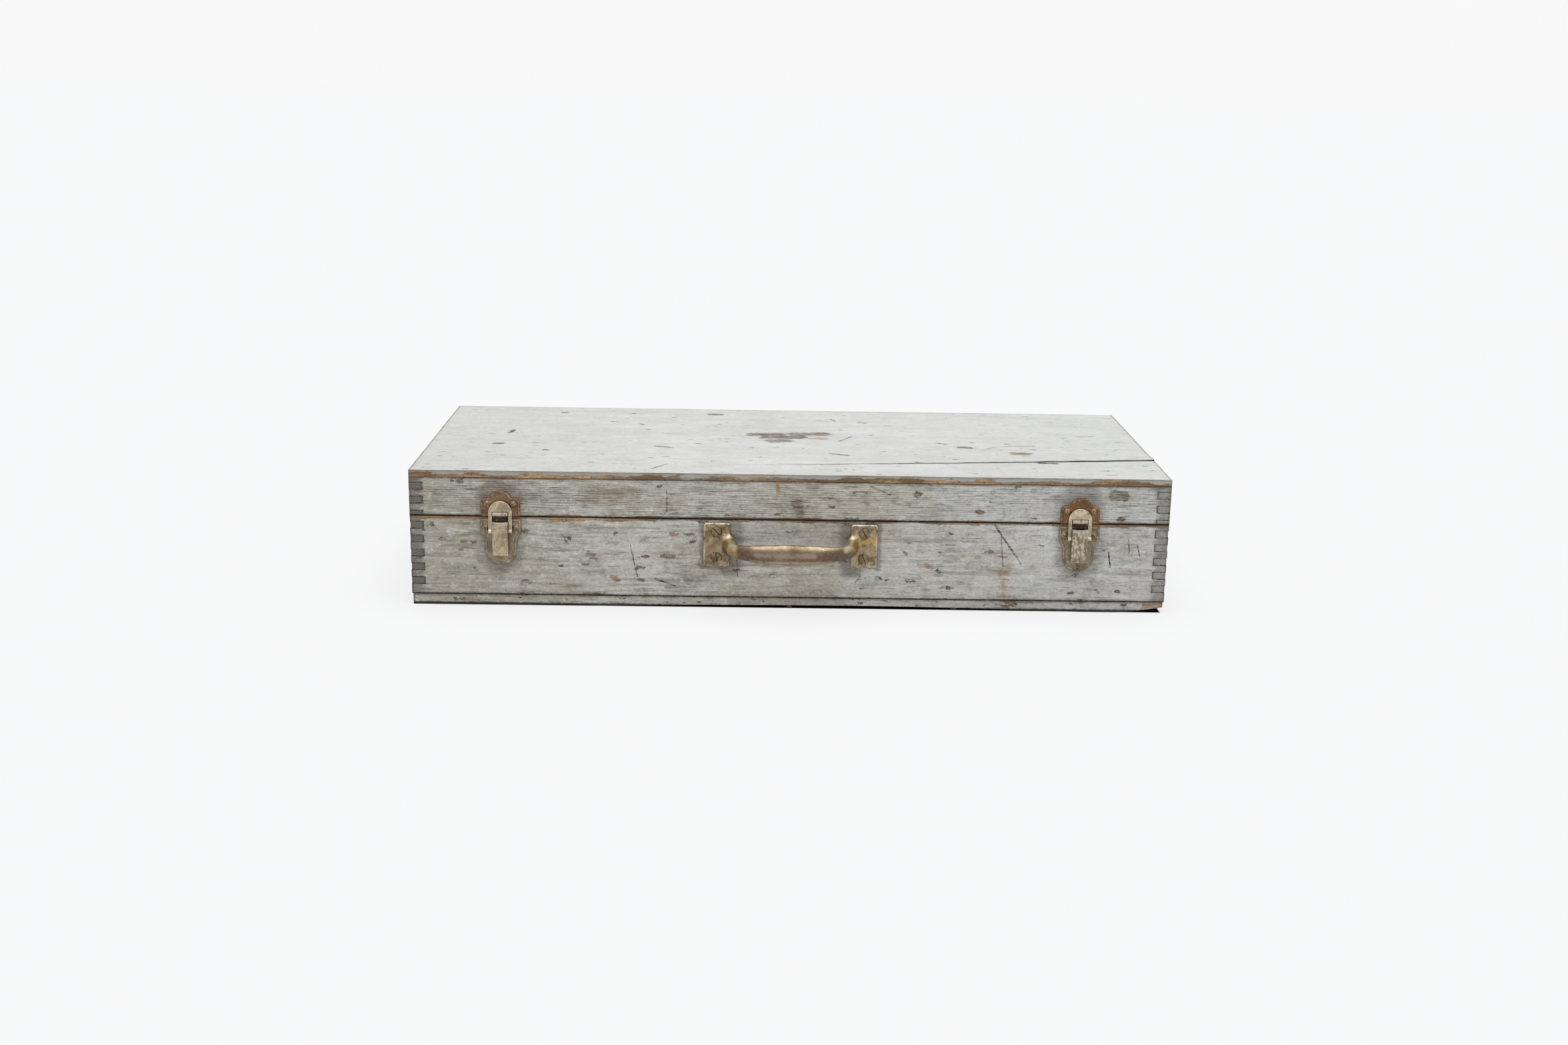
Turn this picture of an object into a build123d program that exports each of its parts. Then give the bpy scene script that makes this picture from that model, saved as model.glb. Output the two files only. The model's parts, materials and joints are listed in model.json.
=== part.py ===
"""Flat wooden tool case with a hinged lid, two draw catches and a cast pull handle.

The four walls are finger jointed as one box, and a saw cut then parts the lid from the base. One board is
laid over the lid's walls and another is nailed under the base's walls.

The origin lies under the middle of the bottom board: +X to the right, +Y to the back, +Z up.
"""

import os
from math import hypot, sqrt

from build123d import *

os.makedirs("parts", exist_ok=True)

# Case
case_width = 660.0
case_depth = 286.0
wall_thickness = 12.0
base_wall_height = 70.0
lid_wall_height = 34.0
bottom_thickness = 10.2
top_thickness = 6.0
bottom_inset = 0.8
seam_gap = 0.5
corner_bevel = 1.1
board_corner_radius = 1.5
top_edge_radius = 2.0

# Finger joints, counted down from the top of the box before the lid was sawn off
finger_pitch = 12.5
finger_height = 6.25
first_finger_drop = 4.8
smallest_finger = 3.0
saw_kerf = 3.2
finger_gap = 0.12

# Cut nails under the bottom board, square in section
nail_head_size = 4.4
nail_head_height = 0.9
nail_shank_size = 2.0
nail_bite = 16.0
nail_end_margin = 40.0
front_row_nails = 5
side_row_nails = 2

# Wood screws: their shanks are plain prisms, since they are buried in the wood
shank_sides = 8
screw_bite_share = 0.75
screw_gap = 0.05
countersink_angle = 90.0
round_head_radius = 2.7
round_head_height = 1.7
round_shank_radius = 1.4
round_slot_width = 0.8
round_slot_depth = 0.8
handle_screw_head_radius = 4.4
handle_screw_shank_radius = 2.2
flat_slot_width = 1.0
flat_slot_depth = 0.9

# Pull handle
handle_hole_spacing = 128.5
handle_hole_rise = 23.0
handle_drop = 2.4
handle_plate_width = 23.4
handle_plate_height = 39.2
handle_plate_thickness = 3.2
handle_plate_radius = 2.2
handle_plate_bevel = 0.9
grip_reach = 34.0
grip_height = 18.0
grip_depth = 11.6
grip_run_shares = (0.845, 0.765, 0.63, 0.0)
grip_reach_shares = (0.05, 0.62, 0.83, 1.0)
grip_height_shares = (1.2, 0.68, 0.72, 1.0)
grip_depth_shares = (1.15, 0.8, 0.83, 1.0)
handle_slot_turns = (45.0, 8.0, 30.0, 22.0)

# Draw catches: heights are measured from the top edge of the base
catch_inset = 78.5
pin_radius = 1.0
pin_gap = 0.05
side_gap = 0.35
swing_gap = 0.45

lever_width = 13.6
lever_drop = 3.4
lever_length = 30.2
lever_sheet = 1.0
lever_edge_radius = 0.7
lever_tip_reach = 5.2
lever_tip_depth = 2.6
lever_panel_margin = 2.1
lever_panel_rise = 0.3
pivot_overhang = 1.6
ear_radius = 2.0

bail_width = 20.2
bail_rise = 14.3
bail_window_rise = 4.9
bail_sheet = 1.4
bail_gap = 0.35
bail_pivot_drop = 12.3
bail_eye_radius = 2.0
bail_eye_gap = 0.8

catch_sheet = 1.2
catch_plate_drop = 2.0
catch_plate_side_margin = 4.55
catch_shoulder_drop = 13.5
catch_shoulder_radius = 4.0
catch_waist_width = 27.2
catch_waist_drop = 21.0
catch_waist_radius = 8.0
catch_foot_drop = 42.6
catch_screw_drop = 10.3
catch_foot_screw_rise = 2.9
catch_screw_side_gap = 0.25
catch_slot_turns = (15.0, -45.0, 60.0, 70.0, 20.0, 40.0)

strike_sheet = 1.2
strike_height = 22.5
strike_side_margin = 5.7
strike_shoulder_height = 16.2
strike_shoulder_radius = 4.5
strike_dome_radius = 11.0
strike_dip_radius = 3.0
strike_screw_height = 11.2
strike_screw_bail_gap = 0.8
strike_slot_turns = (-75.0, -65.0, 2.0, -4.0)
ledge_width = 13.0
ledge_lift = 0.4
ledge_reach = 4.4
ledge_slack = 0.4
ledge_edge_radius = 0.7

# Butt hinges at the back
hinge_inset = 130.0
hinge_length = 50.0
hinge_leaf_height = 24.0
hinge_sheet = 1.6
knuckle_radius = 3.0
knuckle_count = 3
knuckle_gap = 0.3
knuckle_crank_share = 0.93
hinge_pin_radius = 1.4
hinge_screw_spacing = 30.0
hinge_screw_height_share = 0.58
hinge_slot_turns = (10.0, 55.0, 100.0, 35.0)

# Levels of the case
base_bottom = bottom_thickness
base_top = base_bottom + base_wall_height
lid_bottom = base_top + seam_gap
lid_top = lid_bottom + lid_wall_height
corner_tolerance = finger_gap / 2

# Faces that hardware is fixed to: local X across, local Y up, local Z outwards
front = Plane(origin=(0, -case_depth / 2, 0), x_dir=(1, 0, 0), z_dir=(0, -1, 0))
back = Plane(origin=(0, case_depth / 2, 0), x_dir=(-1, 0, 0), z_dir=(0, 1, 0))
right = Plane(origin=(case_width / 2, 0, 0), x_dir=(0, 1, 0), z_dir=(1, 0, 0))
left = Plane(origin=(-case_width / 2, 0, 0), x_dir=(0, -1, 0), z_dir=(-1, 0, 0))

# Lengths of the screws' shanks inside the wood
screw_bite = wall_thickness * screw_bite_share


def write(piece, name):
    """Label a finished piece and write it as one file."""
    piece.part.label = name
    export_step(piece.part, f"parts/{name}.step")


def spots_on(face, spots, out):
    """Places at a height above a face of the case."""
    return [face.location * Location((x, y, out)) for x, y in spots]


# Finger joints


def finger_spans(bottom, top, sawn_off):
    """Heights of the side walls' fingers between two levels; sawn_off lies above the top level."""
    spans = []
    high = top + sawn_off - first_finger_drop
    while high > bottom:
        span = (max(high - finger_height, bottom), min(high, top))
        if span[1] - span[0] > smallest_finger:
            spans.append(span)
        high -= finger_pitch
    return spans


def socket_spans(bottom, top, fingers):
    """Heights between the fingers, where the front and back walls reach through."""
    edges = [bottom, *(level for span in reversed(fingers) for level in span), top]
    return [(low, high) for low, high in zip(edges[0::2], edges[1::2]) if high > low]


def jointed_outline(face, width, bottom, top, notches, notch_gap):
    """Wall outline with the same notches cut into both ends."""
    end = (width - wall_thickness) / 2
    with BuildSketch(face) as outline:
        with Locations((0, (bottom + top) / 2)):
            Rectangle(width, top - bottom)
        for low, high in notches:
            with Locations((-end, (low + high) / 2), (end, (low + high) / 2)):
                Rectangle(
                    wall_thickness + 2 * finger_gap,
                    high - low + 2 * notch_gap,
                    mode=Mode.SUBTRACT,
                )
    return outline


def is_case_corner(edge):
    """True on an upright edge at one of the four outer corners of the case."""
    middle = edge.center()
    on_side = abs(abs(middle.X) - case_width / 2) < corner_tolerance
    on_face = abs(abs(middle.Y) - case_depth / 2) < corner_tolerance
    return on_side and on_face


def shank_holes(face, spots, radius, depth):
    """Holes for screw shanks, cut inwards from a face in the piece that is being made."""
    with BuildSketch(face) as holes:
        with Locations(*spots):
            RegularPolygon(radius + screw_gap, shank_sides)
    extrude(holes.sketch, amount=-depth, mode=Mode.SUBTRACT)


def nail_holes(level, size, depth):
    """Square holes for the nails, cut upwards from a level in the piece that is being made."""
    with BuildSketch(Plane.XY.offset(level)) as holes:
        with Locations(*nail_spots):
            Rectangle(size + 2 * screw_gap, size + 2 * screw_gap)
    extrude(holes.sketch, amount=depth, mode=Mode.SUBTRACT)


def wall(face, width, bottom, top, notches, notch_gap, pilots=(), nailed=False):
    """One finger-jointed wall with bevelled corners, screw pilots and nail holes."""
    outline = jointed_outline(face, width, bottom, top, notches, notch_gap)
    with BuildPart() as board:
        extrude(outline.sketch, amount=-wall_thickness)
        chamfer(board.edges().filter_by(Axis.Z).filter_by(is_case_corner), corner_bevel)
        for spots, radius in pilots:
            shank_holes(face, spots, radius, screw_bite + screw_gap)
        if nailed:
            nail_holes(bottom, nail_shank_size, nail_bite + screw_gap)
    return board


def row(length, count):
    """Evenly spaced positions along a line centred on zero."""
    return [length * (index / (count - 1) - 1 / 2) for index in range(count)]


# Nails stand under the middle of the walls, clear of the finger joints
front_row = row(case_width - 2 * nail_end_margin, front_row_nails)
side_row = row(case_depth - 2 * nail_end_margin, side_row_nails)
nail_spots = [(x, side * (case_depth - wall_thickness) / 2) for side in (-1, 1) for x in front_row]
nail_spots += [(side * (case_width - wall_thickness) / 2, y) for side in (-1, 1) for y in side_row]


# Wood screws


def round_head_screw(sheet, turn):
    """Slotted screw for a sheet of metal, its head's underside at zero; turn leans its slot from upright."""
    ball_radius = (round_head_radius**2 + round_head_height**2) / (2 * round_head_height)
    with BuildPart() as screw:
        with BuildSketch(Plane.XZ):
            with BuildLine():
                RadiusArc((round_head_radius, 0), (0, round_head_height), -ball_radius)
                Polyline((0, round_head_height), (0, 0), (round_head_radius, 0))
            make_face()
        revolve(axis=Axis.Z)
        with Locations(Location((0, 0, round_head_height), (0, 0, turn))):
            Box(round_slot_width, 2 * round_head_radius, 2 * round_slot_depth, mode=Mode.SUBTRACT)
        with BuildSketch(Plane.XY):
            RegularPolygon(round_shank_radius, shank_sides)
        extrude(amount=-screw_bite - sheet)
    return screw.part


def flat_head_screw(turn):
    """Slotted screw for the handle, its face at zero; turn leans its slot from upright."""
    head_depth = handle_screw_head_radius - handle_screw_shank_radius
    with BuildPart() as screw:
        with BuildSketch(Plane.XZ):
            with BuildLine():
                Polyline(
                    (0, 0),
                    (handle_screw_head_radius, 0),
                    (handle_screw_shank_radius, -head_depth),
                    (0, -head_depth),
                    close=True,
                )
            make_face()
        revolve(axis=Axis.Z)
        with Locations(Location((0, 0, 0), (0, 0, turn))):
            Box(flat_slot_width, 2 * handle_screw_head_radius, 2 * flat_slot_depth, mode=Mode.SUBTRACT)
        with BuildSketch(Plane.XY.offset(-head_depth)):
            RegularPolygon(handle_screw_shank_radius, shank_sides)
        extrude(amount=head_depth - screw_bite - handle_plate_thickness)
    return screw.part


def screw_group(screws, places):
    """One group of screws, each in its own place."""
    with BuildPart() as group:
        for screw, place in zip(screws, places):
            with Locations(place):
                add(screw)
    return group


# Pull handle
handle_level = base_top - handle_drop - handle_plate_height / 2
handle_spots = [
    (side * handle_hole_spacing / 2, handle_level + rise * handle_hole_rise / 2)
    for side in (-1, 1)
    for rise in (1, -1)
]


def grip_stations():
    """Points along the grip's axis, across and out, with the section's height and depth at each."""
    half = [
        (
            run * handle_hole_spacing / 2,
            reach * grip_reach,
            height * grip_height,
            depth * grip_depth,
        )
        for run, reach, height, depth in zip(
            grip_run_shares, grip_reach_shares, grip_height_shares, grip_depth_shares
        )
    ]
    mirrored = [(-x, out, height, depth) for x, out, height, depth in half[:-1]]
    return mirrored + half[::-1]


with BuildPart() as handle:
    with BuildSketch(front):
        with Locations((-handle_hole_spacing / 2, handle_level), (handle_hole_spacing / 2, handle_level)):
            RectangleRounded(handle_plate_width, handle_plate_height, handle_plate_radius)
    extrude(amount=handle_plate_thickness)
    chamfer(handle.faces().group_by(Axis.Y)[0].edges(), handle_plate_bevel)
    stations = grip_stations()
    for index, (x, out, height, depth) in enumerate(stations):
        before = stations[max(index - 1, 0)]
        after = stations[min(index + 1, len(stations) - 1)]
        section = Plane(
            origin=(x, -case_depth / 2 - out, handle_level),
            x_dir=(0, 0, 1),
            z_dir=(after[0] - before[0], before[1] - after[1], 0),
        )
        with BuildSketch(section):
            Ellipse(height / 2, depth / 2)
    loft()
    split(bisect_by=front, keep=Keep.TOP)
    with Locations(*spots_on(front, handle_spots, handle_plate_thickness)):
        CounterSinkHole(
            handle_screw_shank_radius + screw_gap,
            handle_screw_head_radius + screw_gap,
            depth=handle_plate_thickness,
            counter_sink_angle=countersink_angle,
        )

handle_screws = screw_group(
    [flat_head_screw(turn) for turn in handle_slot_turns],
    spots_on(front, handle_spots, handle_plate_thickness),
)

write(handle, "handle")
write(handle_screws, "handle_screws")


# Draw catches: out is counted from the front face, up from the top edge of the base
lever_reach = ear_radius + swing_gap + lever_sheet
pivot_out = catch_sheet + hypot(lever_reach, pivot_overhang) + swing_gap
pivot_up = -lever_drop - pivot_overhang
lever_top_out = pivot_out + lever_reach
lever_tip_up = -lever_drop - lever_length
bail_pivot_out = catch_sheet + bail_eye_radius + bail_eye_gap
bail_pivot_up = -bail_pivot_drop
bail_inner = lever_width / 2 + side_gap
bail_top_out = strike_sheet + bail_gap + bail_sheet / 2
bail_length = hypot(bail_rise - bail_pivot_up, bail_top_out - bail_pivot_out)
bail_window_share = (bail_window_rise - bail_pivot_up) / (bail_rise - bail_pivot_up)
ear_outer = lever_width / 2 - lever_sheet - side_gap

# The catch's screws stand just clear of the bail, and its plates are as wide as the screws need
catch_screw_reach = bail_width / 2 + round_head_radius + catch_screw_side_gap
catch_plate_width = 2 * (catch_screw_reach + catch_plate_side_margin)
catch_foot_screw_up = catch_foot_screw_rise - catch_foot_drop
bail_dome_up = bail_rise - bail_width / 2
strike_screw_up = seam_gap + strike_screw_height
strike_screw_clear = bail_width / 2 + round_head_radius + strike_screw_bail_gap
strike_screw_reach = sqrt(strike_screw_clear**2 - (strike_screw_up - bail_dome_up) ** 2)
strike_width = 2 * (strike_screw_reach + strike_side_margin)

catch_places = {"left": catch_inset - case_width / 2, "right": case_width / 2 - catch_inset}
catch_spots = [
    (-catch_screw_reach, base_top - catch_screw_drop),
    (catch_screw_reach, base_top - catch_screw_drop),
    (0, base_top + catch_foot_screw_up),
]
strike_spots = [
    (-strike_screw_reach, lid_bottom + strike_screw_height),
    (strike_screw_reach, lid_bottom + strike_screw_height),
]


def beside(middle, spots):
    """Spots moved across to one catch or hinge."""
    return [(middle + x, level) for x, level in spots]


def profile_plane(middle):
    """Upright plane through a catch, seen from its side: local X outwards, local Y up from the base."""
    return Plane(
        origin=(middle, -case_depth / 2, base_top),
        x_dir=(0, -1, 0),
        z_dir=(-1, 0, 0),
    )


def cross_pin(middle, out, up, length):
    """Plain pin that runs across a catch."""
    with BuildPart() as pin:
        with BuildSketch(profile_plane(middle)):
            with Locations((out, up)):
                Circle(pin_radius)
        extrude(amount=length / 2, both=True)
    return pin


def catch_plate(middle):
    """Urn-shaped plate with two ears for the lever's pivot."""
    half_top = catch_plate_width / 2
    half_waist = catch_waist_width / 2
    with BuildPart() as plate:
        with BuildSketch(Plane(front.origin + (middle, 0, base_top), front.x_dir, front.z_dir)) as outline:
            with BuildLine():
                Polyline(
                    (0, -catch_plate_drop),
                    (half_top, -catch_plate_drop),
                    (half_top, -catch_shoulder_drop),
                    (half_waist, -catch_waist_drop),
                    (half_waist, half_waist - catch_foot_drop),
                )
                RadiusArc(
                    (half_waist, half_waist - catch_foot_drop),
                    (0, -catch_foot_drop),
                    half_waist,
                )
                mirror(about=Plane.YZ)
            make_face()
            shoulders = outline.vertices().filter_by_position(
                Axis.Y, -catch_shoulder_drop - swing_gap, -catch_shoulder_drop + swing_gap
            )
            fillet(shoulders, catch_shoulder_radius)
            waists = outline.vertices().filter_by_position(
                Axis.Y, -catch_waist_drop - swing_gap, -catch_waist_drop + swing_gap
            )
            fillet(waists, catch_waist_radius)
            tops = outline.vertices().group_by(Axis.Y)[-1].sort_by(Axis.X)
            fillet([tops[0], tops[-1]], catch_sheet)
        extrude(amount=catch_sheet)
        shank_holes(front.offset(catch_sheet), beside(middle, catch_spots), round_shank_radius, catch_sheet)
        for side in (-1, 1):
            with BuildSketch(profile_plane(middle + side * (ear_outer - catch_sheet / 2))):
                with Locations((pivot_out / 2, pivot_up - ear_radius / 2)):
                    Rectangle(pivot_out, ear_radius)
                with Locations((pivot_out, pivot_up)):
                    Circle(ear_radius)
                    Circle(pin_radius + pin_gap, mode=Mode.SUBTRACT)
            extrude(amount=catch_sheet / 2, both=True)
    return plate


def lever_profile(inset, overrun):
    """Side of the lever; inset moves its face and tip inwards, overrun opens its back and top."""
    with BuildLine() as line:
        Polyline(
            (lever_top_out - inset, overrun - lever_drop),
            (lever_tip_reach - inset, lever_tip_up + inset),
            (lever_tip_reach - lever_tip_depth - overrun, lever_tip_up + inset),
            (bail_pivot_out - ear_radius - overrun, bail_pivot_up - ear_radius),
            (bail_pivot_out - ear_radius - overrun, bail_pivot_up),
            (pivot_out - ear_radius - overrun, overrun - lever_drop),
            close=True,
        )
    return line


def lever(middle):
    """Pressed channel that turns on the plate's ears and carries the bail pin."""
    with BuildPart() as channel:
        with BuildSketch(profile_plane(middle)):
            add(lever_profile(0, 0).line)
            make_face()
        extrude(amount=lever_width / 2, both=True)
        face = channel.faces().sort_by(Axis.Y)[0]
        sides = channel.edges().filter_by(Axis.X, reverse=True).sort_by(Axis.Y)[:2]
        fillet(sides, lever_edge_radius)
        with BuildSketch(profile_plane(middle)):
            add(lever_profile(lever_sheet, lever_sheet).line)
            make_face()
        extrude(amount=lever_width / 2 - lever_sheet, both=True, mode=Mode.SUBTRACT)
        with BuildSketch(profile_plane(middle)):
            with Locations((pivot_out, pivot_up), (bail_pivot_out, bail_pivot_up)):
                Circle(pin_radius + pin_gap)
        extrude(amount=lever_width / 2, both=True, mode=Mode.SUBTRACT)
        with BuildSketch(Plane(face.center(), x_dir=(1, 0, 0), z_dir=face.normal_at())):
            Rectangle(lever_width - 2 * lever_panel_margin, lever_length - 2 * lever_panel_margin)
        extrude(amount=lever_panel_rise)
    return channel


def bail(middle):
    """Flat D-shaped loop that leans back to the strike and turns on eyes at the foot of its arms."""
    lean = (bail_top_out - bail_pivot_out) / (bail_rise - bail_pivot_up)
    flat = Plane(
        origin=(middle, -case_depth / 2 - bail_pivot_out, base_top + bail_pivot_up),
        x_dir=(1, 0, 0),
        z_dir=(0, -1, -lean),
    )
    window = bail_window_share * bail_length
    with BuildPart() as loop:
        with BuildSketch(flat):
            with Locations((0, (bail_length - bail_width / 2) / 2)):
                Rectangle(bail_width, bail_length - bail_width / 2)
            with Locations((0, bail_length - bail_width / 2)):
                Circle(bail_width / 2)
            Rectangle(2 * bail_inner, 2 * window, mode=Mode.SUBTRACT)
        extrude(amount=bail_sheet / 2, both=True)
        for side in (-1, 1):
            with BuildSketch(profile_plane(middle + side * (bail_width / 2 + bail_inner) / 2)):
                with Locations((bail_pivot_out, bail_pivot_up)):
                    Circle(bail_eye_radius)
            extrude(amount=(bail_width / 2 - bail_inner) / 2, both=True)
        with BuildSketch(profile_plane(middle)):
            with Locations((bail_pivot_out, bail_pivot_up)):
                Circle(pin_radius + pin_gap)
        extrude(amount=bail_width / 2, both=True, mode=Mode.SUBTRACT)
    return loop


def strike(middle):
    """Domed plate on the lid with the ledge that the bail draws down on."""
    with BuildPart() as plate:
        with BuildSketch(Plane(front.origin + (middle, 0, lid_bottom), front.x_dir, front.z_dir)) as outline:
            with Locations((0, strike_shoulder_height / 2)):
                Rectangle(strike_width, strike_shoulder_height)
            fillet(outline.vertices().group_by(Axis.Y)[-1], strike_shoulder_radius)
            with Locations((0, strike_height - strike_dome_radius)):
                Circle(strike_dome_radius)
            dips = outline.vertices().group_by(Axis.Y)[-1].sort_by(lambda vertex: abs(vertex.X))[:2]
            fillet(dips, strike_dip_radius)
        extrude(amount=strike_sheet)
        ledge_low = seam_gap + ledge_lift
        ledge_high = bail_window_rise - ledge_slack
        with BuildSketch(profile_plane(middle)):
            with Locations((ledge_reach / 2, (ledge_low + ledge_high) / 2)):
                Rectangle(ledge_reach, ledge_high - ledge_low)
        extrude(amount=ledge_width / 2, both=True)
        fillet(plate.edges().filter_by(Axis.X).group_by(Axis.Y)[0], ledge_edge_radius)
        shank_holes(front.offset(strike_sheet), beside(middle, strike_spots), round_shank_radius, strike_sheet)
    return plate


for side, middle in catch_places.items():
    write(catch_plate(middle), f"{side}_catch_plate")
    write(cross_pin(middle, pivot_out, pivot_up, lever_width), f"{side}_catch_pivot_pin")
    write(lever(middle), f"{side}_catch_lever")
    write(cross_pin(middle, bail_pivot_out, bail_pivot_up, bail_width), f"{side}_catch_bail_pin")
    write(bail(middle), f"{side}_catch_bail")
    write(strike(middle), f"{side}_strike_plate")

all_catch_spots = [spot for middle in catch_places.values() for spot in beside(middle, catch_spots)]
all_strike_spots = [spot for middle in catch_places.values() for spot in beside(middle, strike_spots)]
catch_screws = screw_group(
    [round_head_screw(catch_sheet, turn) for turn in catch_slot_turns],
    spots_on(front, all_catch_spots, catch_sheet),
)
strike_screws = screw_group(
    [round_head_screw(strike_sheet, turn) for turn in strike_slot_turns],
    spots_on(front, all_strike_spots, strike_sheet),
)
write(catch_screws, "catch_screws")
write(strike_screws, "strike_screws")


# Butt hinges: out is counted from the back face
hinge_pin_out = knuckle_radius + knuckle_gap
hinge_pin_level = base_top + seam_gap / 2
hinge_places = {"left": hinge_inset - case_width / 2, "right": case_width / 2 - hinge_inset}
knuckle_pitch = hinge_length / knuckle_count
hinge_root = knuckle_radius + knuckle_gap


def hinge_spots(middle, up):
    """Screw places on one leaf, as seen from the back; up is 1 on the lid and -1 on the base."""
    level = hinge_pin_level + up * hinge_leaf_height * hinge_screw_height_share
    return [(-middle + side * hinge_screw_spacing / 2, level) for side in (-1, 1)]


def hinge_leaf(middle, up, knuckles):
    """Leaf with its share of the knuckles; up is 1 on the lid and -1 on the base."""
    with BuildPart() as leaf:
        with BuildSketch(back):
            with Locations((-middle, hinge_pin_level + up * (hinge_root + hinge_leaf_height) / 2)):
                Rectangle(hinge_length, hinge_leaf_height - hinge_root)
        extrude(amount=hinge_sheet)
        shank_holes(back.offset(hinge_sheet), hinge_spots(middle, up), round_shank_radius, hinge_sheet)
        web_out = hinge_pin_out - knuckle_radius * knuckle_crank_share
        web_height = hinge_root + hinge_sheet
        for knuckle in knuckles:
            start = middle - hinge_length / 2 + knuckle * knuckle_pitch + knuckle_gap / 2
            end_face = Plane(
                origin=(start, case_depth / 2, hinge_pin_level),
                x_dir=(0, 1, 0),
                z_dir=(1, 0, 0),
            )
            with BuildSketch(end_face):
                with Locations((hinge_pin_out, 0)):
                    Circle(knuckle_radius)
                with Locations(((web_out + hinge_sheet) / 2, up * web_height / 2)):
                    Rectangle(hinge_sheet - web_out, web_height)
                with Locations((hinge_pin_out, 0)):
                    Circle(hinge_pin_radius + pin_gap, mode=Mode.SUBTRACT)
            extrude(amount=knuckle_pitch - knuckle_gap)
    return leaf


def hinge_pin(middle):
    """Pin through all the knuckles of one hinge."""
    end_face = Plane(
        origin=(middle, case_depth / 2 + hinge_pin_out, hinge_pin_level),
        x_dir=(0, 1, 0),
        z_dir=(1, 0, 0),
    )
    with BuildPart() as pin:
        with BuildSketch(end_face):
            Circle(hinge_pin_radius)
        extrude(amount=hinge_length / 2, both=True)
    return pin


for side, middle in hinge_places.items():
    write(hinge_leaf(middle, -1, range(0, knuckle_count, 2)), f"{side}_hinge_base_leaf")
    write(hinge_leaf(middle, 1, range(1, knuckle_count, 2)), f"{side}_hinge_lid_leaf")
    write(hinge_pin(middle), f"{side}_hinge_pin")

base_hinge_spots = [spot for middle in hinge_places.values() for spot in hinge_spots(middle, -1)]
lid_hinge_spots = [spot for middle in hinge_places.values() for spot in hinge_spots(middle, 1)]
hinge_screws = [round_head_screw(hinge_sheet, turn) for turn in hinge_slot_turns]
hinge_base_screws = screw_group(hinge_screws, spots_on(back, base_hinge_spots, hinge_sheet))
hinge_lid_screws = screw_group(hinge_screws, spots_on(back, lid_hinge_spots, hinge_sheet))
write(hinge_base_screws, "hinge_base_screws")
write(hinge_lid_screws, "hinge_lid_screws")


# Walls of the base and the lid
base_fingers = finger_spans(base_bottom, base_top, lid_wall_height + saw_kerf)
base_sockets = socket_spans(base_bottom, base_top, base_fingers)
lid_fingers = finger_spans(lid_bottom, lid_top, 0)
lid_sockets = socket_spans(lid_bottom, lid_top, lid_fingers)

base_front_pilots = [
    (handle_spots, handle_screw_shank_radius),
    (all_catch_spots, round_shank_radius),
]
base_back_pilots = [(base_hinge_spots, round_shank_radius)]
lid_front_pilots = [(all_strike_spots, round_shank_radius)]
lid_back_pilots = [(lid_hinge_spots, round_shank_radius)]

for name, face, pilots in (("front", front, base_front_pilots), ("back", back, base_back_pilots)):
    board = wall(face, case_width, base_bottom, base_top, base_fingers, finger_gap, pilots, True)
    write(board, f"base_{name}_wall")
for name, face, pilots in (("front", front, lid_front_pilots), ("back", back, lid_back_pilots)):
    board = wall(face, case_width, lid_bottom, lid_top, lid_fingers, finger_gap, pilots)
    write(board, f"lid_{name}_wall")
for name, face in (("left", left), ("right", right)):
    write(wall(face, case_depth, base_bottom, base_top, base_sockets, 0, (), True), f"base_{name}_wall")
    write(wall(face, case_depth, lid_bottom, lid_top, lid_sockets, 0), f"lid_{name}_wall")


# Boards over the lid and under the base
with BuildPart() as top_board:
    with BuildSketch(Plane.XY.offset(lid_top)):
        RectangleRounded(case_width, case_depth, board_corner_radius)
    extrude(amount=top_thickness)
    fillet(top_board.faces().sort_by(Axis.Z)[-1].edges(), top_edge_radius)

with BuildPart() as bottom_board:
    with BuildSketch(Plane.XY):
        RectangleRounded(
            case_width - 2 * bottom_inset, case_depth - 2 * bottom_inset, board_corner_radius
        )
    extrude(amount=bottom_thickness)
    nail_holes(0, nail_shank_size, bottom_thickness)
    nail_holes(0, nail_head_size, nail_head_height)

with BuildPart() as bottom_nails:
    with BuildSketch(Plane.XY):
        with Locations(*nail_spots):
            Rectangle(nail_head_size, nail_head_size)
    extrude(amount=nail_head_height)
    with BuildSketch(Plane.XY):
        with Locations(*nail_spots):
            Rectangle(nail_shank_size, nail_shank_size)
    extrude(amount=bottom_thickness + nail_bite)

write(top_board, "top_board")
write(bottom_board, "bottom_board")
write(bottom_nails, "bottom_nails")
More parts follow.
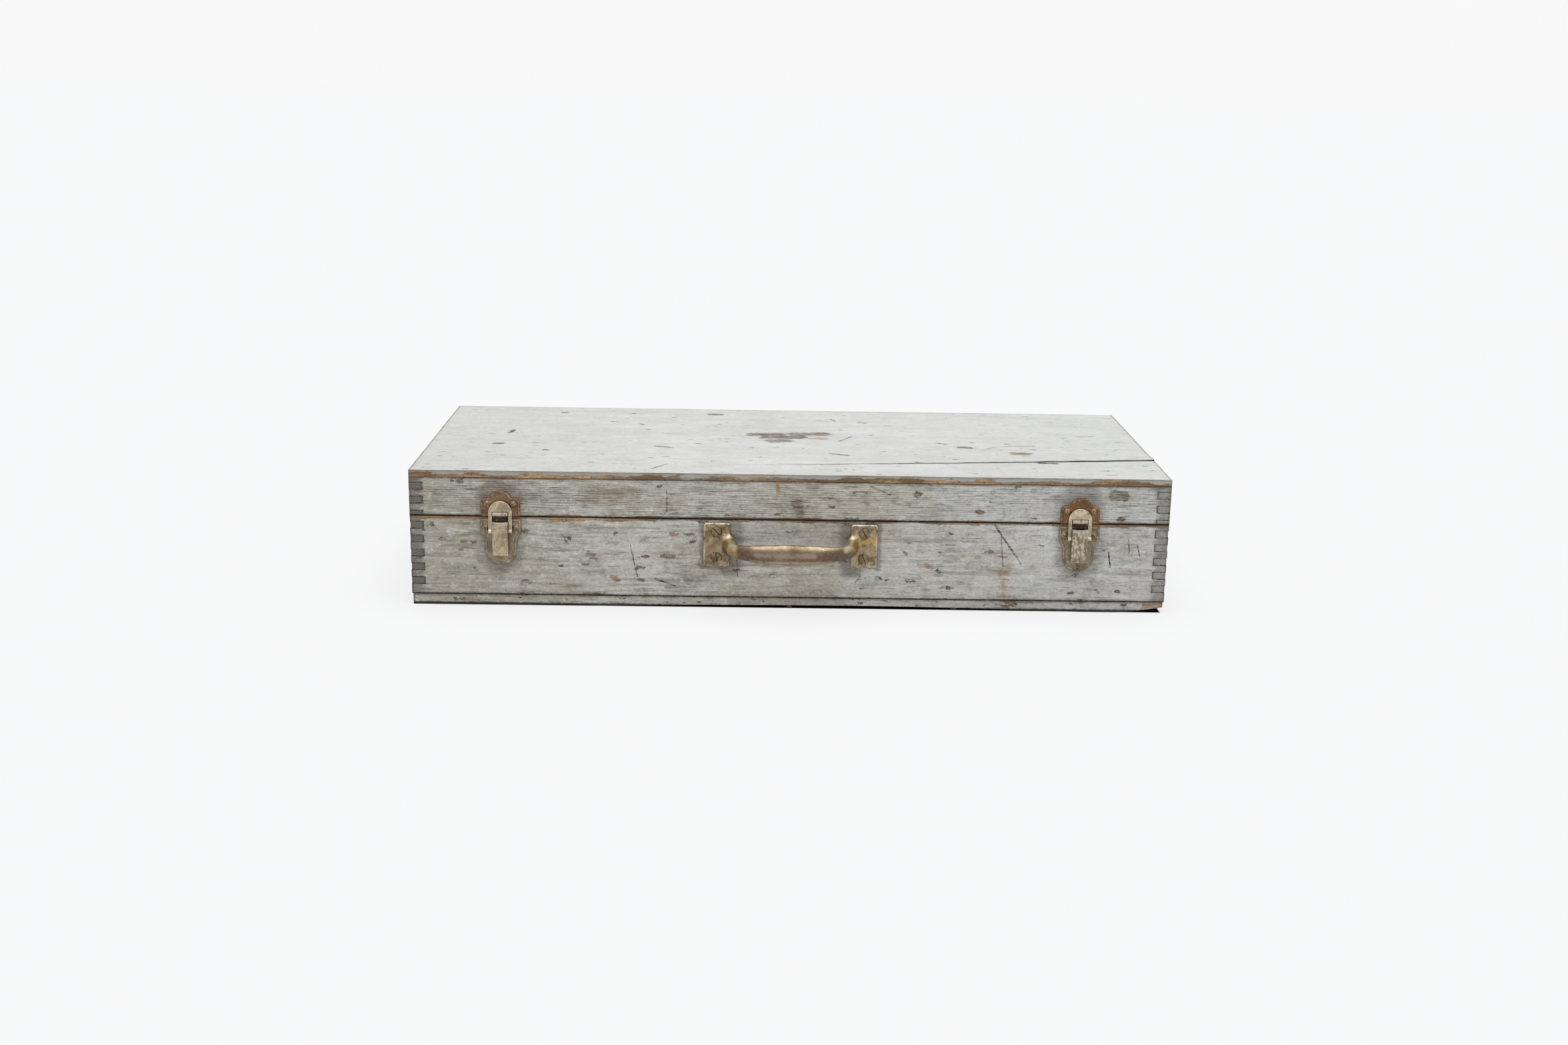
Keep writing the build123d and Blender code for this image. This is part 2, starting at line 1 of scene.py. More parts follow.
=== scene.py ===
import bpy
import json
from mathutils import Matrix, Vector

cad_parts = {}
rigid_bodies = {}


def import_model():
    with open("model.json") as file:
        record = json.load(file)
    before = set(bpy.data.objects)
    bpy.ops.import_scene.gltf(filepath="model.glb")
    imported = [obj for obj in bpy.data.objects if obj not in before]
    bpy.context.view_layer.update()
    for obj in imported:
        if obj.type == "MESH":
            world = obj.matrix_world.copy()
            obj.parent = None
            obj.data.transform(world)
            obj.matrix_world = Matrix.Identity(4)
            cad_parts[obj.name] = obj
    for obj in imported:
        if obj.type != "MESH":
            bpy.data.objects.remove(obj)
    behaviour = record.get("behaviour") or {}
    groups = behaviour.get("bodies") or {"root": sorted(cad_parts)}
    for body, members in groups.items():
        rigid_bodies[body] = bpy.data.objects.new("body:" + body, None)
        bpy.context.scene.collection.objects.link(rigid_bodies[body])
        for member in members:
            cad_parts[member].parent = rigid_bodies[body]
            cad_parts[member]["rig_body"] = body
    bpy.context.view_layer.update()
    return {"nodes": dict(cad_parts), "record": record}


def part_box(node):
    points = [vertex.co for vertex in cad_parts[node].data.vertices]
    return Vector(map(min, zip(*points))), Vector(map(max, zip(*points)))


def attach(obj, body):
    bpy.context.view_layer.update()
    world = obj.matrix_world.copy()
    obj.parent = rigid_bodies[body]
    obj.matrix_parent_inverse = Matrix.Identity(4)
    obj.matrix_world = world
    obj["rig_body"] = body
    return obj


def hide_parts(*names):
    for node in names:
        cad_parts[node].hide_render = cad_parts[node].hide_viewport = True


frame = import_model()

import json
import math

import bmesh
import bpy
import numpy as np
from mathutils import Matrix, Vector, noise
from mathutils.kdtree import KDTree

# Sizes in millimetres, in the frame of the case: x to the right, y to the back, z up.
mm = 0.001
slot_of = {part["node"]: part["material_slot"] for part in frame["record"]["subparts"]}
case_low, case_high = [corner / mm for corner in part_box("top_board")]
half_width = case_high.x
half_depth = case_high.y
case_top = case_high.z
top_board_under = case_low.z
bottom_board_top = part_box("bottom_board")[1].z / mm
base_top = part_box("base_front_wall")[1].z / mm
lid_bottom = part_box("lid_front_wall")[0].z / mm
wall_thickness = (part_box("base_left_wall")[1].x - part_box("base_left_wall")[0].x) / mm

# Worn edges of the boards.
widest_worn_edge = 3.6
edge_segments = 3
edge_slow_size = 38.0
edge_quick_size = 7.0
top_edge_round = 2.1
outer_edge_round = 1.25
outer_bite_size = 16.0
outer_bite_start = 0.2
outer_bite_depth = 3.4
seam_edge_round = 0.5
seam_bite_size = 11.0
seam_bite_start = 0.22
seam_bite_depth = 4.4
finger_edge_round = 0.2
inner_edge_round = 0.4
warp_size = 60.0
warp_depth = 0.1
dent_size = 9.0
dent_depth = 0.05
board_step = 5.5
crack_start_x = -70.0
crack_y_left = -108.0
crack_y_right = -67.0
crack_width = 1.7
crack_depth = 4.0
crack_lip_rise = 1.1
crack_lip_reach = 38.0
crack_line_reach = 45.0
crack_bend = 1.6
crack_bend_size = 42.0
crack_jag = 0.5
crack_jag_size = 9.0
crack_opening_size = 25.0
widest_scratch = 1.5
lost_corner_length = 42.0
lost_corner_height = 5.3
worn_under_reach = 60.0
hollow_under_middle = 40.0
hollow_under_half = 215.0
hollow_under_height = 3.0

# Catches.
catch_sheet = 1.2
rim_width = 2.4
rim_height = 0.5

# Pull handle.
handle_plate_width = 23.4
handle_plate_thickness = 3.2
handle_hole_spacing = 128.5
handle_hole_rise = 23.0
handle_screw_radius = 4.5
flare_rounds = 160
neck_slimmed = 0.16
neck_moved_in = 3.2
neck_middle_in = 2.0
neck_radius = 15.0
neck_reach_out = 17.0
neck_reach_in = 12.0
neck_foot = 2.5
neck_fade_out = 8.0
neck_fade_in = 10.0
rim_rounds = 14


def srgb(red, green, blue):
    """A colour as it is seen, from 0 to 255, as the shader's own numbers."""
    def linear(level):
        share = level / 255
        return share / 12.92 if share <= 0.04045 else ((share + 0.055) / 1.055) ** 2.4
    return (linear(red), linear(green), linear(blue), 1.0)


class Value:
    """One output of a node. Arithmetic on values adds Math nodes."""

    def __init__(self, nodes, socket):
        self.nodes = nodes
        self.socket = socket

    def other(self, output):
        """Another output of the same node."""
        return Value(self.nodes, self.socket.node.outputs[output])

    def __add__(self, other):
        return self.nodes.maths("ADD", self, other)

    __radd__ = __add__

    def __sub__(self, other):
        return self.nodes.maths("SUBTRACT", self, other)

    def __rsub__(self, other):
        return self.nodes.maths("SUBTRACT", other, self)

    def __mul__(self, other):
        return self.nodes.maths("MULTIPLY", self, other)

    __rmul__ = __mul__

    def __abs__(self):
        return self.nodes.maths("ABSOLUTE", self)


class Nodes:
    """A tree of shader nodes, and the one way that a node is added to it."""

    def __init__(self, tree):
        self.tree = tree

    def node(self, kind, settings, sockets, output=0):
        """Add a node: its settings first, then the values or links of its sockets."""
        made = self.tree.nodes.new(kind)
        for key, setting in settings.items():
            setattr(made, key, setting)
        for key, value in sockets.items():
            if isinstance(value, Value):
                self.tree.links.new(value.socket, made.inputs[key])
            else:
                made.inputs[key].default_value = value
        return Value(self, made.outputs[output])

    def maths(self, operation, first, second=0.0):
        return self.node("ShaderNodeMath", {"operation": operation}, {0: first, 1: second})

    def vector(self, operation, sockets, output="Vector"):
        return self.node("ShaderNodeVectorMath", {"operation": operation}, sockets, output)

    def lead(self, value, node, socket):
        """Lead a value into a socket of a node that is already there."""
        self.tree.links.new(value.socket, self.tree.nodes[node].inputs[socket])


class Finish(Nodes):
    """One finish of the case: a material's nodes, and the shader that they feed."""

    def __init__(self, name, fixed):
        self.material = bpy.data.materials.new(name)
        self.material.use_nodes = True
        super().__init__(self.material.node_tree)
        for socket, number in fixed.items():
            self.tree.nodes["Principled BSDF"].inputs[socket].default_value = number
        coordinates = self.node("ShaderNodeTexCoord", {}, {}, "Object")
        self.place = self.vector("SCALE", {"Vector": coordinates, "Scale": 1 / mm})
        self.facing = self.parts(coordinates.other("Normal"))

    def least(self, first, second):
        return self.maths("MINIMUM", first, second)

    def most(self, first, second):
        return self.maths("MAXIMUM", first, second)

    def parts(self, vector):
        """The three parts of a vector or a colour."""
        split = self.node("ShaderNodeSeparateXYZ", {}, {"Vector": vector}, "X")
        return [split, split.other("Y"), split.other("Z")]

    def rise(self, value, low, high):
        """A smooth step: 0 up to low and 1 from high, or falling where high is the lower one."""
        falling = high < low
        return self.node(
            "ShaderNodeMapRange",
            {"interpolation_type": "SMOOTHSTEP"},
            {
                "Value": value,
                "From Min": min(low, high),
                "From Max": max(low, high),
                "To Min": 1.0 if falling else 0.0,
                "To Max": 0.0 if falling else 1.0,
            },
        )

    def spread(self, place, size, seed):
        """Places counted in features of this size along x, y and z."""
        return self.vector(
            "MULTIPLY_ADD",
            {0: place, 1: [1 / length for length in size], 2: (seed, 1.7 * seed, 2.3 * seed)},
        )

    def speckle(self, size, seed, detail=3.0, rough=0.55):
        """Noise from 0 to 1 whose features have this size along x, y and z."""
        spots = self.spread(self.place, size, seed)
        return self.node(
            "ShaderNodeTexNoise", {}, {"Vector": spots, "Scale": 1.0, "Detail": detail, "Roughness": rough}
        )

    def ragged(self, size, seed, reach):
        """Places moved about by some millimetres, so that what is drawn on them gets a ragged outline."""
        tint = self.speckle(size, seed, 5.0, 0.7).other("Color")
        stir = self.vector("SUBTRACT", {0: tint, 1: (0.5, 0.5, 0.5)})
        return self.vector("MULTIPLY_ADD", {0: stir, 1: (2 * reach, 2 * reach, 2 * reach), 2: self.place})

    def strewn(self, place, size, seed):
        """Spots strewn about: how far off the nearest one's middle is, and three chances of its own."""
        away = self.node("ShaderNodeTexVoronoi", {}, {"Vector": self.spread(place, size, seed), "Scale": 1.0})
        return away, self.parts(away.other("Color"))

    def blend(self, share, under, over):
        """One colour laid over another."""
        return self.node("ShaderNodeMix", {"data_type": "RGBA"}, {0: share, 6: under, 7: over}, 2)

    def stroke(self, place, start, end):
        """How many millimetres away a straight mark is."""
        run = Vector(end) - Vector(start)
        beside = self.vector("SUBTRACT", {0: place, 1: start})
        along = self.vector("DOT_PRODUCT", {0: beside, 1: run / run.length_squared}, "Value")
        within = self.node("ShaderNodeClamp", {}, {"Value": along})
        nearest = self.vector("SCALE", {"Vector": run, "Scale": within})
        return self.vector("DISTANCE", {0: beside, 1: nearest}, "Value")

    def feed(self, sockets):
        """Lead values into the shader's own sockets."""
        for key, value in sockets.items():
            self.lead(value, "Principled BSDF", key)

    def relief(self, height):
        """Lead a height in millimetres into the shader's normal."""
        bump = self.node("ShaderNodeBump", {}, {"Height": height, "Strength": 1.0, "Distance": mm}, "Normal")
        self.feed({"Normal": bump})


# Grime and black dirt colours; both are also used as painted shade in the seams, gaps, catch windows and
# crack.
grime_and_shade = srgb(84, 77, 67)
smudged = srgb(150, 142, 127)
black_dirt_and_shade = srgb(24, 21, 18)
raw_wood = srgb(212, 172, 127)
aged_wood = srgb(162, 128, 94)
dark_wood = srgb(100, 76, 54)
brown_stain = srgb(134, 112, 88)
bare_primer = srgb(116, 104, 88)
rubbed_brown = srgb(138, 112, 86)
end_grain_grey = srgb(106, 105, 100)
front_tones = {
    "main": srgb(192, 187, 173), "second": srgb(199, 197, 189), "streaks": srgb(142, 136, 124),
    "left": srgb(172, 167, 153), "right": srgb(203, 204, 202), "drops": srgb(226, 226, 223),
}
top_tones = {
    "main": srgb(195, 195, 192), "second": srgb(203, 204, 203), "streaks": srgb(172, 170, 164),
    "left": srgb(194, 194, 190), "right": srgb(197, 199, 198), "drops": srgb(215, 216, 215),
}


def painted_wood(
    name, node, grain, pitch, ridges, chips, worn, painted_seam_shade,
    marks=(), grime_and_shades=(), dirt=0.5, ends=0.4, tones=front_tones,
):
    """Grey paint, worn and dirty, on a softwood board whose grain runs along one axis."""
    finish = Finish(name, {"Specular IOR Level": 0.25})
    low, high = [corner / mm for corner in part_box(node)]
    x, y, z = finish.parts(finish.place)
    level = y if node in ("top_board", "bottom_board") else z
    to_face = [
        abs(abs(part - (low[axis] + high[axis]) / 2) - (high[axis] - low[axis]) / 2)
        for axis, part in enumerate((x, y, z))
    ]
    edge = finish.most(
        finish.least(to_face[0], to_face[1]),
        finish.least(finish.most(to_face[0], to_face[1]), to_face[2]),
    )
    outside = finish.least(abs(abs(x) - half_width), abs(abs(y) - half_depth))
    if node == "top_board":
        outside = finish.least(outside, abs(z - case_top))

    def along(length, width):
        return [length if axis == grain else width for axis in range(3)]

    fibre = finish.speckle(along(26.0, 0.85), 1.3, 6.0, 0.64)
    streak = finish.speckle(along(110.0, 8.0), 4.1, 5.0, 0.6)
    bend = finish.speckle(along(120.0, 17.0), 7.7, 3.0, 0.5)
    broken = finish.speckle(along(15.0, 2.0), 3.3, 5.0, 0.66)
    zone = finish.speckle(along(95.0, 15.0), 12.1, 4.0, 0.6)
    patch = finish.speckle(along(85.0, 42.0), 2.9, 5.0, 0.62)
    cloud = finish.speckle(along(12.0, 7.0), 5.3, 6.0, 0.7)
    mottle = finish.speckle(along(3.6, 2.2), 8.3, 6.0, 0.74)
    pepper = finish.speckle(along(1.9, 1.2), 24.1, 2.0, 0.6)
    smudge = finish.speckle(along(48.0, 26.0), 27.3, 6.0, 0.68)
    rub = finish.speckle(along(36.0, 8.0), 15.1, 6.0, 0.7)
    loose = finish.ragged(along(8.0, 4.5), 21.7, 2.6)
    scratched = finish.ragged(along(5.0, 3.0), 31.7, 0.6)
    ring = finish.maths("SINE", level * (math.tau / pitch) + bend * 21.0) * 0.5 + 0.5

    timber = finish.blend(finish.rise(fibre, 0.36, 0.62), aged_wood, raw_wood)
    timber = finish.blend(finish.rise(ring, 0.55, 1.0) * 0.3, timber, dark_wood)
    figure = finish.speckle(along(150.0, 2.6), 41.3, 6.0, 0.62)
    inside = finish.blend(finish.rise(figure, 0.36, 0.64), aged_wood, raw_wood)
    inside = finish.blend(finish.rise(streak, 0.46, 0.66) * 0.5, inside, rubbed_brown)
    inside = finish.blend(finish.rise(smudge, 0.5, 0.7) * 0.55, inside, brown_stain)
    inside = finish.blend(finish.rise(mottle, 0.6, 0.7) * 0.5, inside, dark_wood)

    paint = finish.blend(finish.rise(patch, 0.4, 0.6), tones["main"], tones["second"])
    paint = finish.blend(finish.rise(x + 260.0 * (patch - 0.5), 30.0, 270.0) * 0.75, paint, tones["right"])
    paint = finish.blend(finish.rise(x + 260.0 * (cloud - 0.5), -110.0, -290.0) * 0.8, paint, tones["left"])
    paint = finish.blend(finish.rise(streak, 0.52, 0.66) * (0.15 + 0.55 * dirt), paint, tones["streaks"])
    paint = finish.blend(finish.rise(smudge, 0.48, 0.68) * 0.75 * dirt, paint, smudged)
    paint = finish.blend(finish.rise(cloud, 0.54, 0.66) * 0.5, paint, tones["drops"])
    paint = finish.blend(finish.rise(cloud, 0.47, 0.34) * (0.1 + 0.75 * dirt), paint, tones["streaks"])
    drop, chance = finish.strewn(loose, (5.2, 5.2, 5.2), 8.9)
    splash = finish.rise(abs(drop - 0.12 - 0.24 * chance[1]), 0.09, 0.02) * 0.7
    splash = splash + 0.4 * finish.rise(drop, 0.3, 0.1)
    splash = splash * finish.rise(chance[0], 0.5, 0.6) * finish.rise(smudge, 0.53, 0.62)
    paint = finish.blend(splash * 0.5, paint, tones["drops"])
    paint = finish.blend(finish.rise(mottle, 0.55, 0.65) * 0.6, paint, tones["drops"])
    paint = finish.blend(finish.rise(mottle, 0.46, 0.35) * (0.1 + 0.75 * dirt), paint, tones["streaks"])
    in_zone = finish.rise(zone, 0.38, 0.56)
    furrow = finish.rise(ring, 0.46, 0.06) * finish.rise(broken, 0.42, 0.58) * in_zone
    furrow = furrow * (0.45 + 0.4 * finish.rise(x, 80.0, -160.0))
    paint = finish.blend(furrow * ridges, paint, grime_and_shade)
    crest = finish.rise(ring, 0.6, 0.95) * finish.rise(broken, 0.6, 0.42)
    paint = finish.blend(crest * ridges * 0.5, paint, tones["drops"])
    valley = finish.rise(fibre, 0.45, 0.36) * (ridges + in_zone * 0.7)
    paint = finish.blend(valley * (0.1 + 0.8 * dirt), paint, grime_and_shade)
    paint = finish.blend(finish.rise(fibre, 0.58, 0.68) * ridges * 0.7, paint, tones["drops"])
    paint = finish.blend(finish.rise(pepper, 0.64, 0.72) * (0.1 + 0.8 * dirt), paint, grime_and_shade)

    end_grain = finish.rise(abs(finish.facing[grain]), 0.6, 0.8) * ends
    growth = finish.maths("SINE", (level * 0.65 + (x if grain else y) * 0.8) * 3.6 + cloud * 16.0)
    paint = finish.blend(end_grain, paint, end_grain_grey)
    paint = finish.blend(end_grain * finish.rise(growth, 0.2, 0.95) * 0.6, paint, grime_and_shade)
    paint = finish.blend(finish.rise(edge + 3.0 * (cloud - 0.5), 3.0, 0.2) * 0.45, paint, grime_and_shade)
    # Darker paint along each given stroke: grime with painted shade round the fittings, and painted shade in
    # the catches' windows and at the case's ends.
    for start, end, width, strength in grime_and_shades:
        away = finish.stroke(finish.place, start, end) + 9.0 * (cloud - 0.5)
        shade = finish.rise(away, width, 0.45 * width)
        paint = finish.blend(shade * strength, paint, grime_and_shade)

    speck, chance = finish.strewn(loose, along(11.0, 4.2), 6.1)
    speck = finish.rise(speck - 0.36 * chance[0], 0.0, -0.05)
    speck = speck * finish.rise(chance[1], 0.86 - 0.4 * chips, 0.9 - 0.4 * chips)
    speck_tone = finish.blend(chance[2], grime_and_shade, black_dirt_and_shade)
    colour = finish.blend(speck * (0.25 + 0.8 * dirt), paint, speck_tone)
    chip, chance = finish.strewn(loose, along(30.0, 11.0), 16.3)
    chip = chip - 0.3 * chips * chance[0] + 0.9 * (cloud - 0.5) + 0.6 * (mottle - 0.5)
    flaked = finish.rise(chip, 0.02, -0.02)
    chipped = finish.blend(finish.rise(chance[1], 0.6, 0.7), brown_stain, timber)
    chipped = finish.blend(finish.rise(mottle, 0.44, 0.56), grime_and_shade, chipped)
    colour = finish.blend(flaked * 0.9, colour, chipped)
    chip_rim = finish.rise(abs(chip), 0.05, 0.01) * finish.rise(mottle, 0.47, 0.55)
    colour = finish.blend(chip_rim, colour, grime_and_shade)

    bare = 5.4 * (rub - 0.5) - edge + 0.3
    lying = 20.0 * finish.rise(abs(finish.facing[2]), 0.5, 0.8)
    for wear_level, reach, start in worn:
        bare = finish.most(bare, 4.0 * reach * (rub - start) - abs(z - wear_level) - lying)
    rubbed = finish.rise(bare, 0.0, 0.3)
    colour = finish.blend(rubbed, colour, timber)
    colour = finish.blend(rubbed * finish.rise(patch, 0.56, 0.44) * 0.8, colour, rubbed_brown)
    colour = finish.blend(rubbed * finish.rise(zone, 0.46, 0.56) * 0.6, colour, dark_wood)
    colour = finish.blend(rubbed * finish.rise(mottle, 0.5, 0.6) * 0.75, colour, grime_and_shade)
    wear_rim = finish.rise(abs(bare + 0.1), 0.45, 0.1) * finish.rise(cloud, 0.4, 0.52)
    colour = finish.blend(wear_rim * 0.75, colour, grime_and_shade)
    # Dirt and painted shade in the joint gaps round the fingers.
    if node.endswith("wall"):
        sawn_lines = finger_lines(finish, node, grain, mottle)
        sawn_lines = sawn_lines * (0.35 + 0.65 * finish.rise(cloud, 0.4, 0.56))
        colour = finish.blend(sawn_lines, colour, black_dirt_and_shade)
    # Painted shade: black lines along the seams, where the gaps between lid and base and between the boards
    # lie in shade.
    for seam_level, reach, strength in painted_seam_shade:
        seam_shade = finish.rise(abs(z - seam_level) + 1.8 * (mottle - 0.5), reach, 0.4 * reach)
        colour = finish.blend(seam_shade * strength, colour, black_dirt_and_shade)
    on_face = (1.0, 1.0, 0.0) if node == "top_board" else (1.0, 0.0, 1.0)
    flat = finish.vector("MULTIPLY", {0: loose, 1: on_face})
    finely = finish.vector("MULTIPLY", {0: scratched, 1: on_face})
    uneven = 1.5 * (cloud - 0.5) + 1.6 * (mottle - 0.5) + 0.8 * (broken - 0.5)
    scar = 0.0
    for start, end, width, core, stain, strength in marks:
        away = finish.stroke(finely if width < widest_scratch else flat, start, end)
        mark = finish.rise(away * (1 / width) + uneven, 1.05, core)
        mark = mark * strength * (0.4 + 0.6 * finish.rise(broken, 0.42, 0.56))
        colour = finish.blend(mark, colour, stain)
        scar = finish.most(mark, scar)
    if node == "top_board":
        upright = finish.rise(abs(finish.facing[2]), 0.8, 0.5)
        colour = finish.blend(upright * (1 - rubbed) * 0.5, colour, smudged)
        # Painted shade: the crack's sunken floor and the lip beside it are coloured black.
        crack = finish.node("ShaderNodeAttribute", {"attribute_name": "crack"}, {}, "Fac")
        colour = finish.blend(finish.rise(crack, 0.12, 0.5), colour, black_dirt_and_shade)
    colour = finish.blend(finish.rise(outside, 1.2, 1.9), colour, inside)

    hurt = finish.most(finish.most(flaked, rubbed), finish.most(speck, scar))
    finish.feed({"Base Color": colour, "Roughness": 0.6 + 0.22 * hurt})
    finish.relief(0.14 * fibre + ridges * 0.4 * ring + 0.18 * mottle + 0.12 * cloud - 0.16 * hurt)
    return finish.material


def finger_lines(finish, node, grain, mottle):
    """The dark lines round the sawn fingers at a wall's ends: dirt, and painted shade in the joint gaps."""
    fingers = finger_levels(node.split("_")[0] + "_left_wall", 1)
    start, end = fingers[1]
    x, y, z = finish.parts(finish.place)
    run = x if grain == 0 else y
    shoulder = (half_width if grain == 0 else half_depth) - wall_thickness
    at_end = finish.rise(abs(run), shoulder - 0.5, shoulder)
    within = finish.rise(z, fingers.min() - 0.7, fingers.min() - 0.5)
    within = within * finish.rise(z, fingers.max() + 0.7, fingers.max() + 0.5)
    uneven = 2.4 * (mottle - 0.5)
    line = finish.maths("PINGPONG", z - start, (end - start) / 2)
    sawn_line = at_end * within * finish.rise(line + uneven, 0.7, 0.05)
    if grain == 0:
        return sawn_line
    inner = abs(abs(x) - (half_width - wall_thickness))
    at_face = finish.rise(abs(finish.facing[grain]), 0.6, 0.8)
    return finish.most(sawn_line, at_face * finish.rise(inner + uneven, 0.8, 0.15))


def worn_metal(name, dull, mid, bright, grease, rough=0.42, metal=0.8, flaking=0.0, stains_and_painted_light=(), rings=()):
    """Old plated or cast metal: patchy, dirty in the hollows and rubbed bright on its rims."""
    finish = Finish(name, {"Specular IOR Level": 0.5})
    rim = finish.node("ShaderNodeAttribute", {"attribute_name": "rim"}, {}, "Fac")
    patch = finish.speckle((11.0, 11.0, 11.0), 3.7, 5.0, 0.62)
    cloud = finish.speckle((2.8, 2.8, 3.6), 9.7, 6.0, 0.68)
    fleck = finish.speckle((0.9, 0.9, 0.9), 6.1, 3.0, 0.65)
    loose = finish.ragged((3.0, 3.0, 3.0), 4.9, 0.8)
    colour = finish.blend(finish.rise(patch, 0.38, 0.62), dull, mid)
    colour = finish.blend(finish.rise(cloud, 0.52, 0.68) * 0.4, colour, bright)
    colour = finish.blend(finish.rise(cloud, 0.46, 0.32) * 0.4, colour, grease)
    if flaking:
        flake = finish.speckle((3.0, 3.0, 4.5), 13.3, 5.0, 0.72)
        colour = finish.blend(finish.rise(flake, 0.51, 0.56) * flaking, colour, bright)
        colour = finish.blend(finish.rise(flake, 0.45, 0.4) * flaking, colour, grease)
    flat = finish.vector("MULTIPLY", {0: loose, 1: (1.0, 0.0, 1.0)})
    # Bands laid over the colour: stains, and painted shadows and highlights where a finish is given them.
    for start, end, width, stain, strength in stains_and_painted_light:
        band = finish.rise(finish.stroke(flat, start, end), width, 0.1 * width)
        colour = finish.blend(band * finish.rise(cloud + 0.4 * patch, 0.5, 0.76) * strength, colour, stain)
    dirty = finish.most(
        finish.rise(rim + 0.2 * (cloud - 0.5), -0.12, -0.45),
        finish.rise(fleck, 0.6, 0.68) * finish.rise(patch, 0.6, 0.42) * 0.7,
    )
    for middle, radius in rings:
        beside = finish.vector("DISTANCE", {0: flat, 1: middle}, "Value")
        ring = finish.rise(beside, radius + 0.9, radius + 0.2) * finish.rise(cloud, 0.36, 0.54)
        dirty = finish.most(dirty, ring)
    colour = finish.blend(dirty * 0.9, colour, grease)
    rubbed = finish.rise(rim + 1.2 * (cloud - 0.5) + 0.6 * (patch - 0.5), 0.18, 0.5)
    colour = finish.blend(rubbed * 0.75, colour, bright)
    finish.feed(
        {
            "Base Color": colour,
            "Metallic": metal - 0.6 * dirty,
            "Roughness": rough + 0.25 * dirty + 0.3 * (cloud - 0.5) - 0.1 * rubbed,
        }
    )
    finish.relief(0.05 * fleck + 0.1 * cloud + 0.1 * patch)
    return finish.material


def show(node, mesh, finish):
    """Show a mesh in place of one solid of the case."""
    piece = bpy.data.objects.new(node + "_worn", mesh)
    bpy.context.scene.collection.objects.link(piece)
    mesh.materials.clear()
    mesh.materials.append(finish)
    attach(piece, frame["nodes"][node]["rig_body"])
    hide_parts(node)
    return piece


def settled(mesh, *modifiers):
    """A mesh with modifiers applied: each is its kind and its settings."""
    holder = bpy.data.objects.new("on_the_bench", mesh)
    bpy.context.scene.collection.objects.link(holder)
    for kind, settings in modifiers:
        made = holder.modifiers.new(kind.lower(), kind)
        for key, setting in settings.items():
            setattr(made, key, setting)
    seen = holder.evaluated_get(bpy.context.evaluated_depsgraph_get())
    result = bpy.data.meshes.new_from_object(seen)
    bpy.data.objects.remove(holder)
    return result


def smoothed(mesh, angle=34.0):
    """Shade a mesh smooth, apart from edges sharper than the angle."""
    mesh.shade_smooth()
    mesh.set_sharp_from_angle(angle=math.radians(angle))
    return mesh


def wander(place, size, seed):
    """Slow noise about from -1 to 1 at a place, with features of this size."""
    return noise.noise(Vector(place) / size + Vector((seed, 2.0 * seed, 3.0 * seed)))


def stations(low, high, step, *stops):
    """Saw lines from low to high, about a step apart and through the stops."""
    marks = sorted({low, high, *stops})
    lines = [low]
    for start, end in zip(marks, marks[1:]):
        count = max(1, round((end - start) / step))
        lines += [start + (end - start) * (index + 1) / count for index in range(count)]
    return np.array(lines)


def sawn(xs, ys, zs, kept):
    """A mesh of the outer faces of the kept cells between saw lines."""
    lines = (xs, ys, zs)
    strides = (len(ys) * len(zs), len(zs), 1)
    padded = np.pad(kept, 1).astype(int)
    quads = []
    for axis in range(3):
        first, second = (axis + 1) % 3, (axis + 2) % 3
        step = np.diff(padded, axis=axis)
        trim = [slice(1, -1)] * 3
        trim[axis] = slice(None)
        step = step[tuple(trim)]
        for direction in (1, -1):
            spots = np.argwhere(step == direction)
            start = spots @ np.array(strides)
            one, two = strides[first], strides[second]
            corners = np.stack([start, start + one, start + one + two, start + two], axis=1)
            quads.append(corners[:, ::-1] if direction == 1 else corners)
    quads = np.concatenate(quads)
    used, faces = np.unique(quads, return_inverse=True)
    i, rest = np.divmod(used, strides[0])
    j, k = np.divmod(rest, strides[1])
    corners = np.stack([lines[0][i], lines[1][j], lines[2][k]], axis=1)
    mesh = bpy.data.meshes.new("board")
    mesh.from_pydata((corners * mm).tolist(), [], faces.reshape(-1, 4).tolist())
    return mesh


def finger_levels(node, axis):
    """Levels at which a wall's fingers start and end, read off its end."""
    points = np.array([vertex.co for vertex in frame["nodes"][node].data.vertices]) / mm
    end = points[:, axis].max()
    levels = np.unique(np.round(points[points[:, axis] > end - 0.05, 2], 2))
    return levels.reshape(-1, 2)


def points_of(mesh, key):
    """The places or the normals of a mesh's points."""
    numbers = np.empty(3 * len(mesh.vertices))
    mesh.vertices.foreach_get(key, numbers)
    return numbers.reshape(-1, 3)


def edge_width(middle, seed):
    """How far the edge of a board is worn away at a place."""
    x, y, z = middle
    touching = 0.01
    outside = [
        abs(abs(x) - half_width) < touching,
        abs(abs(y) - half_depth) < touching,
        z > case_top - touching or z < touching,
    ]
    slow = wander(middle, edge_slow_size, seed)
    quick = wander(middle, edge_quick_size, seed + 5.0)
    if sum(outside) >= 2:
        bite = max(0.0, wander(middle, outer_bite_size, seed + 9.0) - outer_bite_start) * outer_bite_depth
        rounding = top_edge_round if z > top_board_under else outer_edge_round
        return rounding + 0.6 * slow + 0.35 * quick + bite
    near_corner = abs(x) > half_width - wall_thickness - 0.5 and abs(y) > half_depth - wall_thickness - 0.5
    if near_corner:
        return finger_edge_round
    if outside[0] or outside[1]:
        bite = max(0.0, wander(middle, seam_bite_size, seed + 13.0) - seam_bite_start) * seam_bite_depth
        return max(finger_edge_round, seam_edge_round + 0.3 * slow + 0.2 * quick + bite)
    return inner_edge_round


